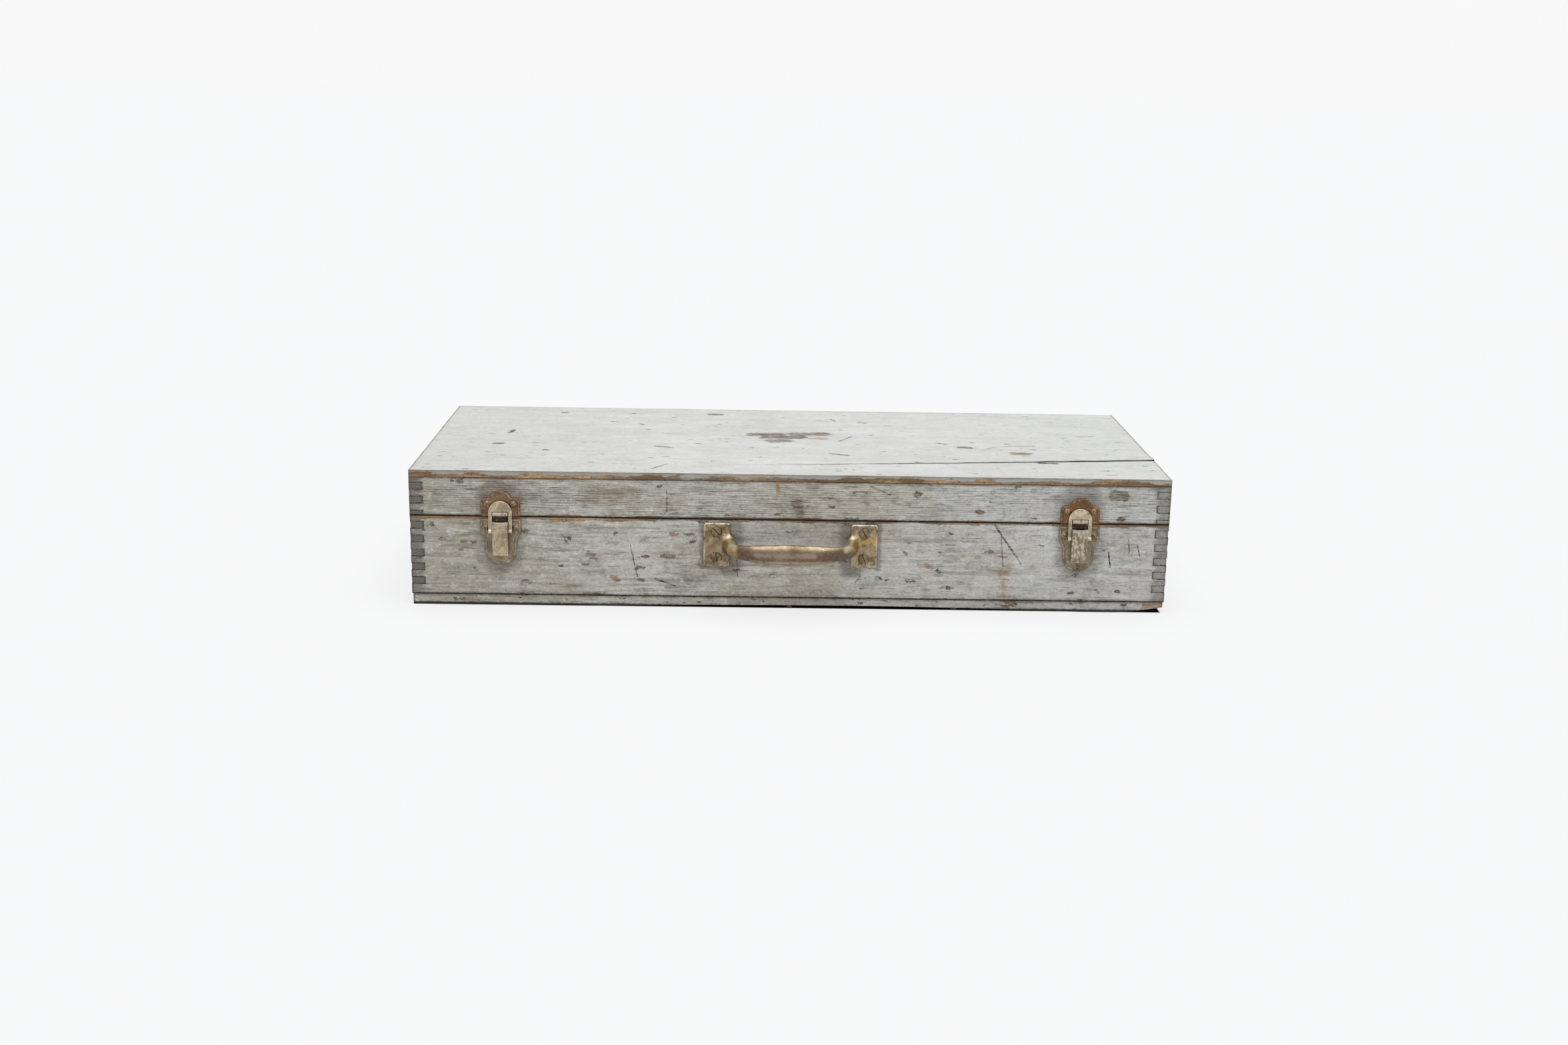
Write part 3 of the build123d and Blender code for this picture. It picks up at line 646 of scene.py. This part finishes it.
def worn_board(node, seed, grain):
    """A board with its edges worn and chipped, sawn fingers at a wall's ends and a slightly uneven face."""
    low, high = [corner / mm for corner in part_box(node)]
    wall = node.endswith("wall")
    levels = finger_levels(node, grain) if wall else np.zeros((0, 2))
    stops = [[], [], sorted(levels.flatten().tolist())]
    if wall:
        stops[grain] = [low[grain] + wall_thickness, high[grain] - wall_thickness]
    lines = [stations(low[axis], high[axis], board_step, *stops[axis]) for axis in range(3)]
    if node == "top_board":
        crack_line = (crack_y_left + crack_y_right) / 2
        spread = crack_width / 2
        lines[1] = stations(
            low[1], high[1], board_step, crack_line - spread, crack_line, crack_line + spread
        )
    kept = np.ones([len(line) - 1 for line in lines], bool)
    if wall:
        middles = [(line[1:] + line[:-1]) / 2 for line in lines]
        run = middles[grain]
        at_end = (run < low[grain] + wall_thickness) | (run > high[grain] - wall_thickness)
        gap = np.ones(len(middles[2]), bool)
        for start, end in levels:
            gap &= ~((middles[2] > start) & (middles[2] < end))
        cut = at_end[:, None] & gap[None, :]
        if grain == 0:
            kept[:] = ~cut[:, None, :]
        else:
            kept[:] = ~cut[None, :, :]
    mesh = sawn(*lines, kept)

    board = bmesh.new()
    board.from_mesh(mesh)
    weight = board.edges.layers.float.new("bevel_weight_edge")
    for edge in board.edges:
        if edge.is_manifold and edge.is_convex and edge.calc_face_angle() > 1.0:
            start, end = [vertex.co / mm for vertex in edge.verts]
            width = edge_width((start + end) / 2, seed)
            edge[weight] = min(1.0, max(0.05, width / widest_worn_edge))
    if node == "top_board":
        open_crack(board)
    board.to_mesh(mesh)
    board.free()
    mesh = settled(
        mesh,
        (
            "BEVEL",
            {
                "limit_method": "WEIGHT",
                "width": widest_worn_edge * mm,
                "segments": edge_segments,
                "use_clamp_overlap": True,
            },
        ),
    )
    places = points_of(mesh, "co") / mm
    for place, normal in zip(places, points_of(mesh, "normal")):
        spot = Vector(place)
        warp = warp_depth * wander(spot, warp_size, seed + 20.0)
        place += normal * (warp + dent_depth * wander(spot, dent_size, seed + 23.0))
        if node == "bottom_board":
            place[2] += worn_under(spot)
    mesh.vertices.foreach_set("co", (places * mm).ravel())
    return smoothed(mesh)


def crack_path(x):
    """Where the crack in the top board runs at x, and how far open it is there, from 0 to 1."""
    share = min(1.0, max(0.0, (x - crack_start_x) / (half_width - crack_start_x)))
    y = crack_y_left + (crack_y_right - crack_y_left) * share ** 1.2
    spot = (x, 0.0, 0.0)
    y += crack_bend * wander(spot, crack_bend_size, 3.0) + crack_jag * wander(spot, crack_jag_size, 6.0)
    opening = share ** 0.7 * (0.85 + 0.5 * wander(spot, crack_opening_size, 9.0))
    return y, max(0.0, opening)


def open_crack(board):
    """Bend the saw lines along the crack, sink the middle one and let the lip behind it stand up."""
    middle = (crack_y_left + crack_y_right) / 2
    crack = board.verts.layers.float.new("crack")
    for vertex in board.verts:
        place = vertex.co / mm
        y, opening = crack_path(place.x)
        beside = place.y - middle
        shift = (y - middle) * max(0.0, 1 - abs(beside) / crack_line_reach)
        if abs(beside) < crack_width:
            shift -= beside * (1 - opening)
        vertex.co.y += shift * mm
        if place.z < case_top - 0.1:
            continue
        if abs(beside) < 0.1 * crack_width:
            vertex[crack] = min(1.0, 2.0 * opening)
            vertex.co.z -= crack_depth * opening * mm
        elif beside > 0:
            vertex[crack] = 0.4 * opening if beside < crack_width else 0.0
            vertex.co.z += crack_lip_rise * opening * max(0.0, 1 - beside / crack_lip_reach) * mm


def worn_under(place):
    """How far the underside of the bottom board is worn up along its front edge and at its right corner."""
    corner = max(0.0, (place.x - half_width + lost_corner_length) / lost_corner_length)
    hollow = max(0.0, 1 - ((place.x - hollow_under_middle) / hollow_under_half) ** 2)
    back = max(0.0, 1 - (place.y + half_depth) / worn_under_reach)
    under = max(0.0, 1 - place.z / bottom_board_top)
    return (lost_corner_height * corner ** 1.3 + hollow_under_height * hollow) * back * under


def note_rims(mesh, gain):
    """Note on each point of a mesh how far it stands out, where hands rub it, or lies in a hollow."""
    count = len(mesh.vertices)
    places = points_of(mesh, "co") / mm
    normals = points_of(mesh, "normal")
    ends = np.empty(2 * len(mesh.edges), int)
    mesh.edges.foreach_get("vertices", ends)
    first, second = ends.reshape(-1, 2).T

    def beside(numbers):
        """What lies beside each point, on average."""
        return np.bincount(first, numbers[second], count) + np.bincount(second, numbers[first], count)

    links = np.maximum(beside(np.ones(count)), 1.0)
    out = np.zeros(count)
    for axis in range(3):
        flowing = places[:, axis]
        for turn in range(rim_rounds):
            flowing = (flowing + beside(flowing) / links) / 2
        out += (places[:, axis] - flowing) * normals[:, axis]
    rim = mesh.attributes.new("rim", "FLOAT", "POINT")
    rim.data.foreach_set("value", np.clip(gain * out, -1.0, 1.0))


def forged(node, grain_size, rounds, kept_share, gain):
    """A solid of metal with its edges rounded over, and its rims noted for its finish."""
    mesh = settled(
        frame["nodes"][node].data.copy(),
        ("REMESH", {"mode": "VOXEL", "voxel_size": grain_size * mm}),
        ("SMOOTH", {"factor": 0.5, "iterations": rounds}),
    )
    if node == "handle":
        flare_necks(mesh)
    elif "strike_plate" in node or "catch_plate" in node:
        press_rim(mesh)
    note_rims(mesh, gain)
    mesh.shade_smooth()
    return settled(mesh, ("DECIMATE", {"ratio": kept_share}), ("WEIGHTED_NORMAL", {}))


def press_rim(mesh):
    """Raise a rounded rim along the outline of a catch's plate."""
    face_y = -half_depth - catch_sheet
    places, normals = points_of(mesh, "co") / mm, points_of(mesh, "normal")
    sides = np.flatnonzero((abs(normals[:, 1]) < 0.4) & (places[:, 1] > face_y - 0.05))
    faces = np.flatnonzero((normals[:, 1] < -0.7) & (abs(places[:, 1] - face_y) < 0.15))
    outline = KDTree(len(sides))
    for index in sides:
        outline.insert((places[index, 0], 0.0, places[index, 2]), index)
    outline.balance()
    for index in faces:
        away = outline.find((places[index, 0], 0.0, places[index, 2]))[2]
        if away < rim_width:
            places[index, 1] -= rim_height * math.sin(math.pi * away / rim_width) ** 2
    mesh.vertices.foreach_set("co", (places * mm).ravel())


def flare_necks(mesh):
    """Let the pull handle's necks run smoothly into its plates."""
    low, high = [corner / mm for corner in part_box("handle")]
    plate_face = high.y - handle_plate_thickness
    neck_x = high.x - handle_plate_width
    middle_z = (low.z + high.z) / 2
    shape = bmesh.new()
    shape.from_mesh(mesh)
    flare = []
    for vertex in shape.verts:
        place = vertex.co / mm
        out = plate_face - place.y
        inward = abs(place.x) - neck_x + neck_reach_in
        beside = math.hypot(abs(place.x) - neck_x - neck_middle_in, place.z - middle_z)
        if -0.4 < out < neck_reach_out and inward > 0 and beside < neck_radius:
            flare.append(vertex)
            share = min(1.0, max(0.0, out / neck_foot))
            share *= min(1.0, max(0.0, (neck_reach_out - out) / neck_fade_out))
            share *= min(1.0, inward / neck_fade_in)
            vertex.co.x -= math.copysign(neck_moved_in * share * mm, place.x)
            vertex.co.z -= (place.z - middle_z) * neck_slimmed * share * mm
    for turn in range(flare_rounds):
        bmesh.ops.smooth_vert(
            shape, verts=flare, factor=0.5, use_axis_x=True, use_axis_y=True, use_axis_z=True
        )
    shape.to_mesh(mesh)
    shape.free()


def on_front(across, up):
    return (across, 0.0, up)


def on_top(across, back):
    return (across, back, 0.0)


# Marks on the paint: start and end on the face, half width, share of it that is full, stain and strength.
top_marks = [
    (on_top(6.0, 28.0), on_top(33.0, 30.0), 9.0, 0.6, dark_wood, 0.9),
    (on_top(-34.0, 24.0), on_top(-8.0, 26.0), 7.5, 0.6, dark_wood, 1.0),
    (on_top(-22.0, 12.0), on_top(12.0, 14.0), 8.0, 0.5, grime_and_shade, 1.0),
    (on_top(20.0, 9.0), on_top(33.0, 8.0), 5.0, 0.5, aged_wood, 0.8),
    (on_top(-15.0, -4.0), on_top(-3.0, -3.0), 9.0, 0.6, grime_and_shade, 0.9),
    (on_top(-75.0, 117.5), on_top(-67.0, 117.5), 4.6, 0.75, grime_and_shade, 0.9),
    (on_top(-262.8, 17.0), on_top(-260.4, 29.0), 2.6, 0.75, black_dirt_and_shade, 1.0),
    (on_top(-269.0, -30.8), on_top(-265.0, -30.8), 4.0, 0.75, grime_and_shade, 1.0),
    (on_top(-222.0, -56.3), on_top(-220.4, -56.3), 3.2, 0.75, grime_and_shade, 1.0),
    (on_top(-223.0, 116.5), on_top(-219.0, 116.5), 2.8, 0.75, grime_and_shade, 0.9),
    (on_top(-143.0, 66.0), on_top(-139.0, 62.0), 1.6, 0.75, grime_and_shade, 1.0),
    (on_top(-171.0, 75.5), on_top(-166.0, 75.0), 1.6, 0.75, grime_and_shade, 1.0),
    (on_top(-122.0, -34.1), on_top(-107.4, -38.9), 1.8, 0.75, grime_and_shade, 1.0),
    (on_top(-121.0, -125.3), on_top(-109.0, -106.4), 1.0, 0.75, grime_and_shade, 0.9),
    (on_top(46.4, -2.5), on_top(60.0, 20.9), 1.3, 0.75, grime_and_shade, 0.8),
    (on_top(37.0, -56.3), on_top(52.0, -62.0), 2.6, 0.75, brown_stain, 1.0),
    (on_top(70.0, 88.0), on_top(77.0, 85.0), 1.6, 0.75, grime_and_shade, 0.9),
    (on_top(42.5, 102.0), on_top(46.8, 92.0), 1.3, 0.75, grime_and_shade, 0.8),
    (on_top(138.5, -3.8), on_top(146.0, -7.7), 1.9, 0.75, grime_and_shade, 1.0),
    (on_top(160.0, -20.6), on_top(167.0, -21.6), 4.6, 0.75, grime_and_shade, 1.0),
    (on_top(207.0, -45.2), on_top(218.0, -44.8), 5.6, 0.75, brown_stain, 1.0),
    (on_top(183.0, -22.7), on_top(206.0, -13.0), 1.2, 0.75, brown_stain, 0.8),
    (on_top(206.0, -13.0), on_top(229.0, -10.5), 1.2, 0.75, brown_stain, 0.8),
    (on_top(224.0, -82.8), on_top(239.0, -84.0), 2.4, 0.75, black_dirt_and_shade, 1.0),
    (on_top(278.0, 33.0), on_top(290.0, 36.0), 5.0, 0.2, brown_stain, 0.5),
    (on_top(277.0, -127.4), on_top(283.0, -127.4), 2.4, 0.6, aged_wood, 0.75),
]
lid_front_marks = [
    (on_front(-176.0, 100.5), on_front(-138.0, 101.0), 12.0, 0.0, brown_stain, 0.55),
    (on_front(-107.7, 106.0), on_front(-107.6, 86.7), 0.6, 0.75, grime_and_shade, 0.8),
    (on_front(-286.5, 111.8), on_front(-284.5, 111.8), 2.1, 0.75, grime_and_shade, 0.85),
    (on_front(280.0, 106.4), on_front(289.0, 106.2), 5.0, 0.75, bare_primer, 0.95),
    (on_front(5.6, 94.0), on_front(7.4, 87.0), 5.1, 0.75, bare_primer, 1.0),
    (on_front(48.0, 82.2), on_front(58.0, 82.2), 1.8, 0.75, grime_and_shade, 0.85),
    (on_front(-11.9, 115.0), on_front(-11.7, 105.0), 1.9, 0.75, aged_wood, 1.0),
    (on_front(69.5, 110.9), on_front(85.6, 104.3), 0.7, 0.75, grime_and_shade, 0.85),
    (on_front(33.0, 93.0), on_front(37.0, 92.6), 1.4, 0.75, grime_and_shade, 0.85),
]
base_front_marks = [
    (on_front(178.0, 78.1), on_front(202.1, 43.7), 0.9, 0.75, black_dirt_and_shade, 0.85),
    (on_front(184.0, 68.3), on_front(186.4, 41.1), 0.7, 0.6, dark_wood, 0.8),
    (on_front(182.0, 50.0), on_front(190.0, 49.6), 0.6, 0.75, dark_wood, 0.7),
    (on_front(184.0, 35.0), on_front(190.0, 35.4), 1.6, 0.75, aged_wood, 0.9),
    (on_front(184.0, 29.4), on_front(192.0, 29.0), 0.8, 0.75, aged_wood, 0.8),
    (on_front(185.0, 22.0), on_front(190.0, 22.4), 1.9, 0.75, aged_wood, 0.8),
    (on_front(187.0, 38.0), on_front(188.0, 14.0), 3.0, 0.0, aged_wood, 0.5),
    (on_front(278.4, 55.1), on_front(280.7, 41.8), 0.8, 0.5, black_dirt_and_shade, 1.0),
    (on_front(295.2, 66.8), on_front(296.5, 54.7), 0.5, 0.75, grime_and_shade, 0.9),
    (on_front(303.4, 61.5), on_front(305.8, 52.4), 0.6, 0.75, grime_and_shade, 1.0),
    (on_front(-139.5, 56.3), on_front(-133.2, 27.7), 0.6, 0.75, grime_and_shade, 0.85),
    (on_front(-46.5, 45.5), on_front(-45.8, 28.9), 0.6, 0.75, grime_and_shade, 0.85),
    (on_front(-117.7, 25.8), on_front(-100.2, 19.6), 0.8, 0.75, black_dirt_and_shade, 0.9),
    (on_front(-109.0, 18.4), on_front(-98.0, 17.6), 1.1, 0.75, grime_and_shade, 0.77),
    (on_front(-176.0, 48.0), on_front(-172.0, 45.0), 2.9, 0.75, bare_primer, 1.0),
    (on_front(-181.0, 38.4), on_front(-176.0, 38.2), 1.2, 0.75, grime_and_shade, 0.85),
    (on_front(-111.0, 46.6), on_front(-102.0, 45.6), 2.2, 0.75, bare_primer, 1.0),
    (on_front(-104.0, 66.8), on_front(-99.0, 66.4), 1.8, 0.75, aged_wood, 1.0),
    (on_front(-156.0, 26.8), on_front(-152.0, 26.4), 1.9, 0.75, aged_wood, 1.0),
    (on_front(-132.0, 24.8), on_front(-128.0, 24.4), 1.4, 0.75, grime_and_shade, 0.85),
    (on_front(-92.0, 27.0), on_front(-88.0, 23.0), 3.4, 0.3, grime_and_shade, 0.4),
    (on_front(-286.0, 57.4), on_front(-282.0, 57.2), 1.4, 0.75, brown_stain, 1.0),
    (on_front(-288.0, 50.4), on_front(-285.0, 50.2), 1.6, 0.75, brown_stain, 0.9),
    (on_front(-233.0, 22.2), on_front(-226.0, 21.6), 2.1, 0.75, grime_and_shade, 0.77),
    (on_front(113.0, 41.0), on_front(121.0, 40.4), 1.8, 0.75, aged_wood, 1.0),
    (on_front(99.0, 53.0), on_front(102.0, 51.0), 1.6, 0.75, grime_and_shade, 0.85),
    (on_front(136.0, 60.2), on_front(143.0, 60.0), 1.0, 0.75, grime_and_shade, 0.85),
    (on_front(129.0, 37.0), on_front(131.0, 35.0), 1.4, 0.75, grime_and_shade, 0.85),
    (on_front(57.0, 23.6), on_front(61.5, 31.0), 0.5, 0.75, grime_and_shade, 0.85),
    (on_front(50.0, 36.0), on_front(60.0, 28.0), 4.5, 0.0, grime_and_shade, 0.35),
    (on_front(287.0, 19.6), on_front(289.5, 19.4), 1.4, 0.75, black_dirt_and_shade, 1.0),
    (on_front(245.0, 17.6), on_front(249.0, 17.2), 1.3, 0.75, grime_and_shade, 0.85),
    (on_front(269.0, 20.4), on_front(272.0, 18.6), 1.3, 0.75, grime_and_shade, 0.85),
]
bottom_marks = [(on_front(314.0, 7.0), on_front(332.0, 6.4), 4.2, 0.75, aged_wood, 1.0)]

handle_low, handle_high = [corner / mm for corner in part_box("handle")]
handle_middle = (handle_low.z + handle_high.z) / 2
catch_boxes = [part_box(side + "_catch_plate") for side in ("left", "right")]
catch_middles = [(low.x + high.x) / 2 / mm for low, high in catch_boxes]
front_y = -half_depth


def near_front(across, up):
    return (across, front_y, up)


# Grime with painted shade round the fittings, and painted shade in the catches' windows and at the case's
# ends: start, end, reach and strength.
base_front_grime_and_shade = []
lid_front_grime_and_shade = []
for middle in catch_middles:
    base_front_grime_and_shade.append((near_front(middle, base_top), near_front(middle, 50.0), 27.0, 0.5))
    lid_front_grime_and_shade.append((near_front(middle, lid_bottom), near_front(middle, 94.0), 28.0, 0.5))
    # Painted shade in the catch's window, at the top of the base.
    for window_shades in (base_front_grime_and_shade, lid_front_grime_and_shade):
        window_shades.append(
            (near_front(middle - 5.0, base_top), near_front(middle + 5.0, base_top), 6.0, 1.0)
        )
# Grime and painted shade beside the pull handle's plates.
for side in (-1, 1):
    inner_edge = side * (handle_high.x - handle_plate_width)
    base_front_grime_and_shade.append(
        (near_front(inner_edge, handle_low.z), near_front(inner_edge, handle_high.z), 14.0, 0.5)
    )
    outer_edge = side * handle_high.x
    base_front_grime_and_shade.append(
        (near_front(outer_edge, handle_low.z), near_front(outer_edge, handle_high.z), 5.0, 0.45)
    )

# Painted shade at the case's left and right ends.
for side in (-1, 1):
    for end_shades in (base_front_grime_and_shade, lid_front_grime_and_shade):
        corner = side * half_width
        end_shades.append((near_front(corner, 0.0), near_front(corner, case_top), 15.0, 0.5))

# Painted shade along the seams: level, reach and strength.
lid_seam_shade = [(lid_bottom, 1.1, 0.92), (top_board_under, 0.7, 0.6)]
base_seam_shade = [(bottom_board_top, 1.0, 0.92), (base_top, 0.5, 0.92)]
lid_look = dict(pitch=1.9, chips=0.4, worn=[(lid_bottom, 2.4, 0.43)], painted_seam_shade=lid_seam_shade)
base_look = dict(pitch=6.2, chips=0.45, worn=[(base_top, 3.4, 0.4)], painted_seam_shade=base_seam_shade, dirt=0.7)
boards = {
    "top_board": (
        0,
        dict(
            pitch=4.6, ridges=0.1, chips=0.06, worn=[(top_board_under, 4.6, 0.31)],
            painted_seam_shade=[(top_board_under, 0.5, 0.6)], marks=top_marks, dirt=0.25, tones=top_tones,
        ),
    ),
    "bottom_board": (
        0,
        dict(
            pitch=3.4, ridges=0.35, chips=0.7, worn=[(bottom_board_top, 1.0, 0.41)],
            # Painted shade along the seam over the bottom board and along its lower edge above the floor.
            painted_seam_shade=[(bottom_board_top, 0.9, 0.92), (0.6, 2.8, 0.92)], marks=bottom_marks, dirt=0.8,
        ),
    ),
    "lid_front_wall": (
        0, dict(lid_look, ridges=0.8, marks=lid_front_marks, grime_and_shades=lid_front_grime_and_shade, dirt=0.8)
    ),
    "lid_back_wall": (0, dict(lid_look, ridges=0.6, dirt=0.7)),
    "lid_left_wall": (1, dict(lid_look, ridges=0.5, dirt=0.7, ends=0.9)),
    "lid_right_wall": (1, dict(lid_look, ridges=0.5, dirt=0.7, ends=0.5)),
    "base_front_wall": (0, dict(base_look, ridges=0.42, marks=base_front_marks, grime_and_shades=base_front_grime_and_shade)),
    "base_back_wall": (0, dict(base_look, ridges=0.3)),
    "base_left_wall": (1, dict(base_look, ridges=0.4, ends=0.9)),
    "base_right_wall": (1, dict(base_look, ridges=0.4, ends=0.5)),
}
for seed, (node, (grain, look)) in enumerate(boards.items()):
    paint = painted_wood("grey_paint_on_" + node, node, grain, **look)
    show(node, worn_board(node, 1.0 + 0.37 * seed, grain), paint)

silver_wear = srgb(200, 190, 170)
grip_brown = srgb(92, 74, 65)
# Stains on the pull handle, with painted highlights on the grip's upper face and on the upper sides of its
# necks.
handle_stains_and_painted_highlights = [
    (on_front(-46.0, 57.5), on_front(46.0, 57.5), 12.0, grip_brown, 0.9),
    (on_front(-46.0, 57.0), on_front(-38.0, 57.0), 9.0, srgb(92, 72, 58), 0.9),
    (on_front(30.0, 58.0), on_front(44.0, 58.0), 8.0, srgb(98, 78, 64), 0.9),
    # Painted highlight along the grip's upper face.
    (on_front(-30.0, 58.5), on_front(20.0, 59.0), 3.6, srgb(166, 146, 132), 0.7),
    (on_front(-34.0, 52.0), on_front(34.0, 52.0), 2.6, srgb(178, 162, 132), 0.8),
    (on_front(56.0, 60.0), on_front(76.0, 64.0), 5.0, srgb(182, 148, 82), 0.8),
    (on_front(-56.0, 60.0), on_front(-50.0, 56.0), 7.0, srgb(176, 152, 96), 0.8),
    (on_front(-72.0, 54.0), on_front(-64.0, 60.0), 6.0, srgb(110, 82, 56), 0.7),
    # Painted highlights on the upper sides of the necks.
    (on_front(-57.0, 66.0), on_front(-49.0, 62.0), 4.5, srgb(196, 180, 148), 1.0),
    (on_front(57.0, 66.0), on_front(48.0, 62.0), 4.5, srgb(196, 180, 148), 1.0),
]
screw_rings = [
    (
        on_front(side * handle_hole_spacing / 2, handle_middle + rise * handle_hole_rise / 2),
        handle_screw_radius,
    )
    for side in (-1, 1)
    for rise in (-1, 1)
]
bronze = worn_metal(
    "worn_bronze", srgb(114, 96, 73), srgb(168, 150, 121), silver_wear, srgb(60, 44, 32), 0.38,
    stains_and_painted_light=handle_stains_and_painted_highlights, rings=screw_rings,
)
# Painted shadow in the window of each catch, on its plate.
window_shadows = [
    (on_front(middle - 6.0, base_top - 3.0), on_front(middle + 6.0, base_top - 3.0), 2.6, black_dirt_and_shade, 1.0)
    for middle in catch_middles
]
ledge_level = lid_bottom + 2.6
pale_steel = srgb(196, 188, 180)
pale_ledges = [
    (on_front(middle - 6.0, ledge_level), on_front(middle + 6.0, ledge_level), 2.6, pale_steel, 1.0)
    for middle in catch_middles
]
plating = worn_metal(
    "dull_plating", srgb(150, 136, 112), srgb(186, 172, 144), srgb(224, 214, 192), srgb(98, 78, 56)
)
plate_plating = worn_metal(
    "dull_plate_plating", srgb(116, 104, 86), srgb(142, 130, 108), srgb(196, 186, 162), srgb(78, 60, 42), 0.44,
    stains_and_painted_light=window_shadows,
)
flaked_plating = worn_metal(
    "flaked_plating", srgb(132, 114, 86), srgb(160, 148, 124), srgb(208, 204, 192), srgb(104, 76, 52), 0.5,
    flaking=0.65,
)
browned_plate = worn_metal(
    "browned_plate", srgb(103, 77, 55), srgb(126, 100, 74), srgb(186, 162, 130), srgb(62, 44, 30), 0.4,
    stains_and_painted_light=pale_ledges,
)
coppery_plate = worn_metal(
    "coppery_plate", srgb(104, 74, 50), srgb(126, 93, 65), srgb(176, 144, 112), srgb(66, 46, 32), 0.4,
    stains_and_painted_light=pale_ledges,
)
screw_steel = worn_metal(
    "dull_screw_steel", srgb(124, 104, 84), srgb(152, 132, 108), srgb(188, 172, 146), srgb(34, 26, 20)
)
screw_bronze = worn_metal(
    "dull_screw_bronze", srgb(104, 86, 63), srgb(134, 115, 87), srgb(176, 158, 128), srgb(34, 26, 20)
)
hinge_steel = worn_metal(
    "worn_hinge_steel", srgb(110, 104, 96), srgb(140, 134, 124), srgb(186, 182, 172), srgb(74, 58, 44), 0.48
)

casting = dict(grain_size=0.45, rounds=4, kept_share=0.35, gain=2.0)
pressed_plate = dict(grain_size=0.2, rounds=2, kept_share=0.14, gain=3.0)
small_fitting = dict(pressed_plate, gain=5.0)
hinge_leaf = dict(grain_size=0.25, rounds=2, kept_share=0.12, gain=2.4)
fastener = dict(grain_size=0.2, rounds=1, kept_share=0.2, gain=3.0)
show("handle", forged("handle", **casting), bronze)
for node in frame["nodes"]:
    if node in boards or node == "handle":
        continue
    if "strike_plate" in node:
        plate = coppery_plate if node.startswith("right") else browned_plate
        show(node, forged(node, **pressed_plate), plate)
    elif node == "right_catch_lever":
        show(node, forged(node, **small_fitting), flaked_plating)
    elif "catch_plate" in node:
        show(node, forged(node, **pressed_plate), plate_plating)
    elif slot_of[node] == "plated_steel":
        show(node, forged(node, **small_fitting), plating)
    elif slot_of[node] == "hinge_steel":
        show(node, forged(node, **hinge_leaf), hinge_steel)
    elif node == "handle_screws":
        show(node, forged(node, **fastener), screw_bronze)
    else:
        show(node, forged(node, **fastener), screw_steel)

# Floor, light and camera.
floor_size = 30000.0
floor_below = 0.1
floor_mesh = bpy.data.meshes.new("studio_floor")
sheet = bmesh.new()
bmesh.ops.create_grid(sheet, x_segments=2, y_segments=2, size=floor_size / 2 * mm)
sheet.to_mesh(floor_mesh)
sheet.free()
floor = bpy.data.objects.new("studio_floor", floor_mesh)
bpy.context.scene.collection.objects.link(floor)
floor.location.z = -floor_below * mm
floor_finish = Finish("white_floor", {"Specular IOR Level": 0.0, "Roughness": 1.0})
shade = floor_finish.speckle((900.0, 900.0, 900.0), 2.0)
floor_place = floor_finish.parts(floor_finish.place)
beyond = floor_finish.most(abs(floor_place[0]) - half_width, abs(floor_place[1]) - half_depth)
in_the_open = floor_finish.rise(beyond, -3.0, -1.2)
paper = floor_finish.blend(shade, srgb(226, 227, 228), srgb(229, 230, 231))
# Painted shadow: within the case's footprint the floor is coloured near black, so the gap under the bottom
# board shows dark.
floor_finish.feed({"Base Color": floor_finish.blend(in_the_open, srgb(30, 28, 26), paper)})
seen_floor = floor_finish.node("ShaderNodeLightPath", {}, {}, "Is Camera Ray")
white = floor_finish.node("ShaderNodeEmission", {}, {"Color": srgb(249, 249, 250), "Strength": 1.0})
lit = Value(floor_finish, floor_finish.tree.nodes["Principled BSDF"].outputs[0])
floor_glow = seen_floor * in_the_open * 0.75
floor_look = floor_finish.node("ShaderNodeMixShader", {}, {0: floor_glow, 1: lit, 2: white})
floor_finish.lead(floor_look, "Material Output", "Surface")
floor_mesh.materials.append(floor_finish.material)

sky = bpy.data.worlds.new("studio")
bpy.context.scene.world = sky
sky.use_nodes = True
sky.node_tree.nodes["Background"].inputs["Color"].default_value = (1.0, 1.0, 1.0, 1.0)
studio = Nodes(sky.node_tree)
seen_straight = studio.node("ShaderNodeLightPath", {}, {}, "Is Camera Ray")
seen_sky = studio.maths("MAXIMUM", seen_straight, seen_straight.other("Is Glossy Ray"))
studio.lead(0.36 + 0.59 * seen_sky, "Background", "Strength")

lamp = bpy.data.lights.new("softbox_above", "SUN")
lamp.energy = 2.7
lamp.angle = math.radians(70.0)
softbox = bpy.data.objects.new("softbox_above", lamp)
bpy.context.scene.collection.objects.link(softbox)
softbox.rotation_euler = (math.radians(4.0), math.radians(3.0), 0.0)

camera_place = (-35.2, -1712.0, 487.6)
camera_down = 14.62
camera_turn = -1.07
camera_roll = 1.03
camera_lens = 42.86
eye = bpy.data.cameras.new("photo_camera")
eye.lens = camera_lens
eye.sensor_width = 36.0
eye.clip_end = 100.0
camera = bpy.data.objects.new("photo_camera", eye)
bpy.context.scene.collection.objects.link(camera)
camera.matrix_world = (
    Matrix.Translation(Vector(camera_place) * mm)
    @ Matrix.Rotation(math.radians(camera_turn), 4, "Z")
    @ Matrix.Rotation(math.radians(90.0 - camera_down), 4, "X")
    @ Matrix.Rotation(math.radians(camera_roll), 4, "Z")
)
bpy.context.scene.camera = camera
bpy.context.scene.view_settings.view_transform = "Standard"
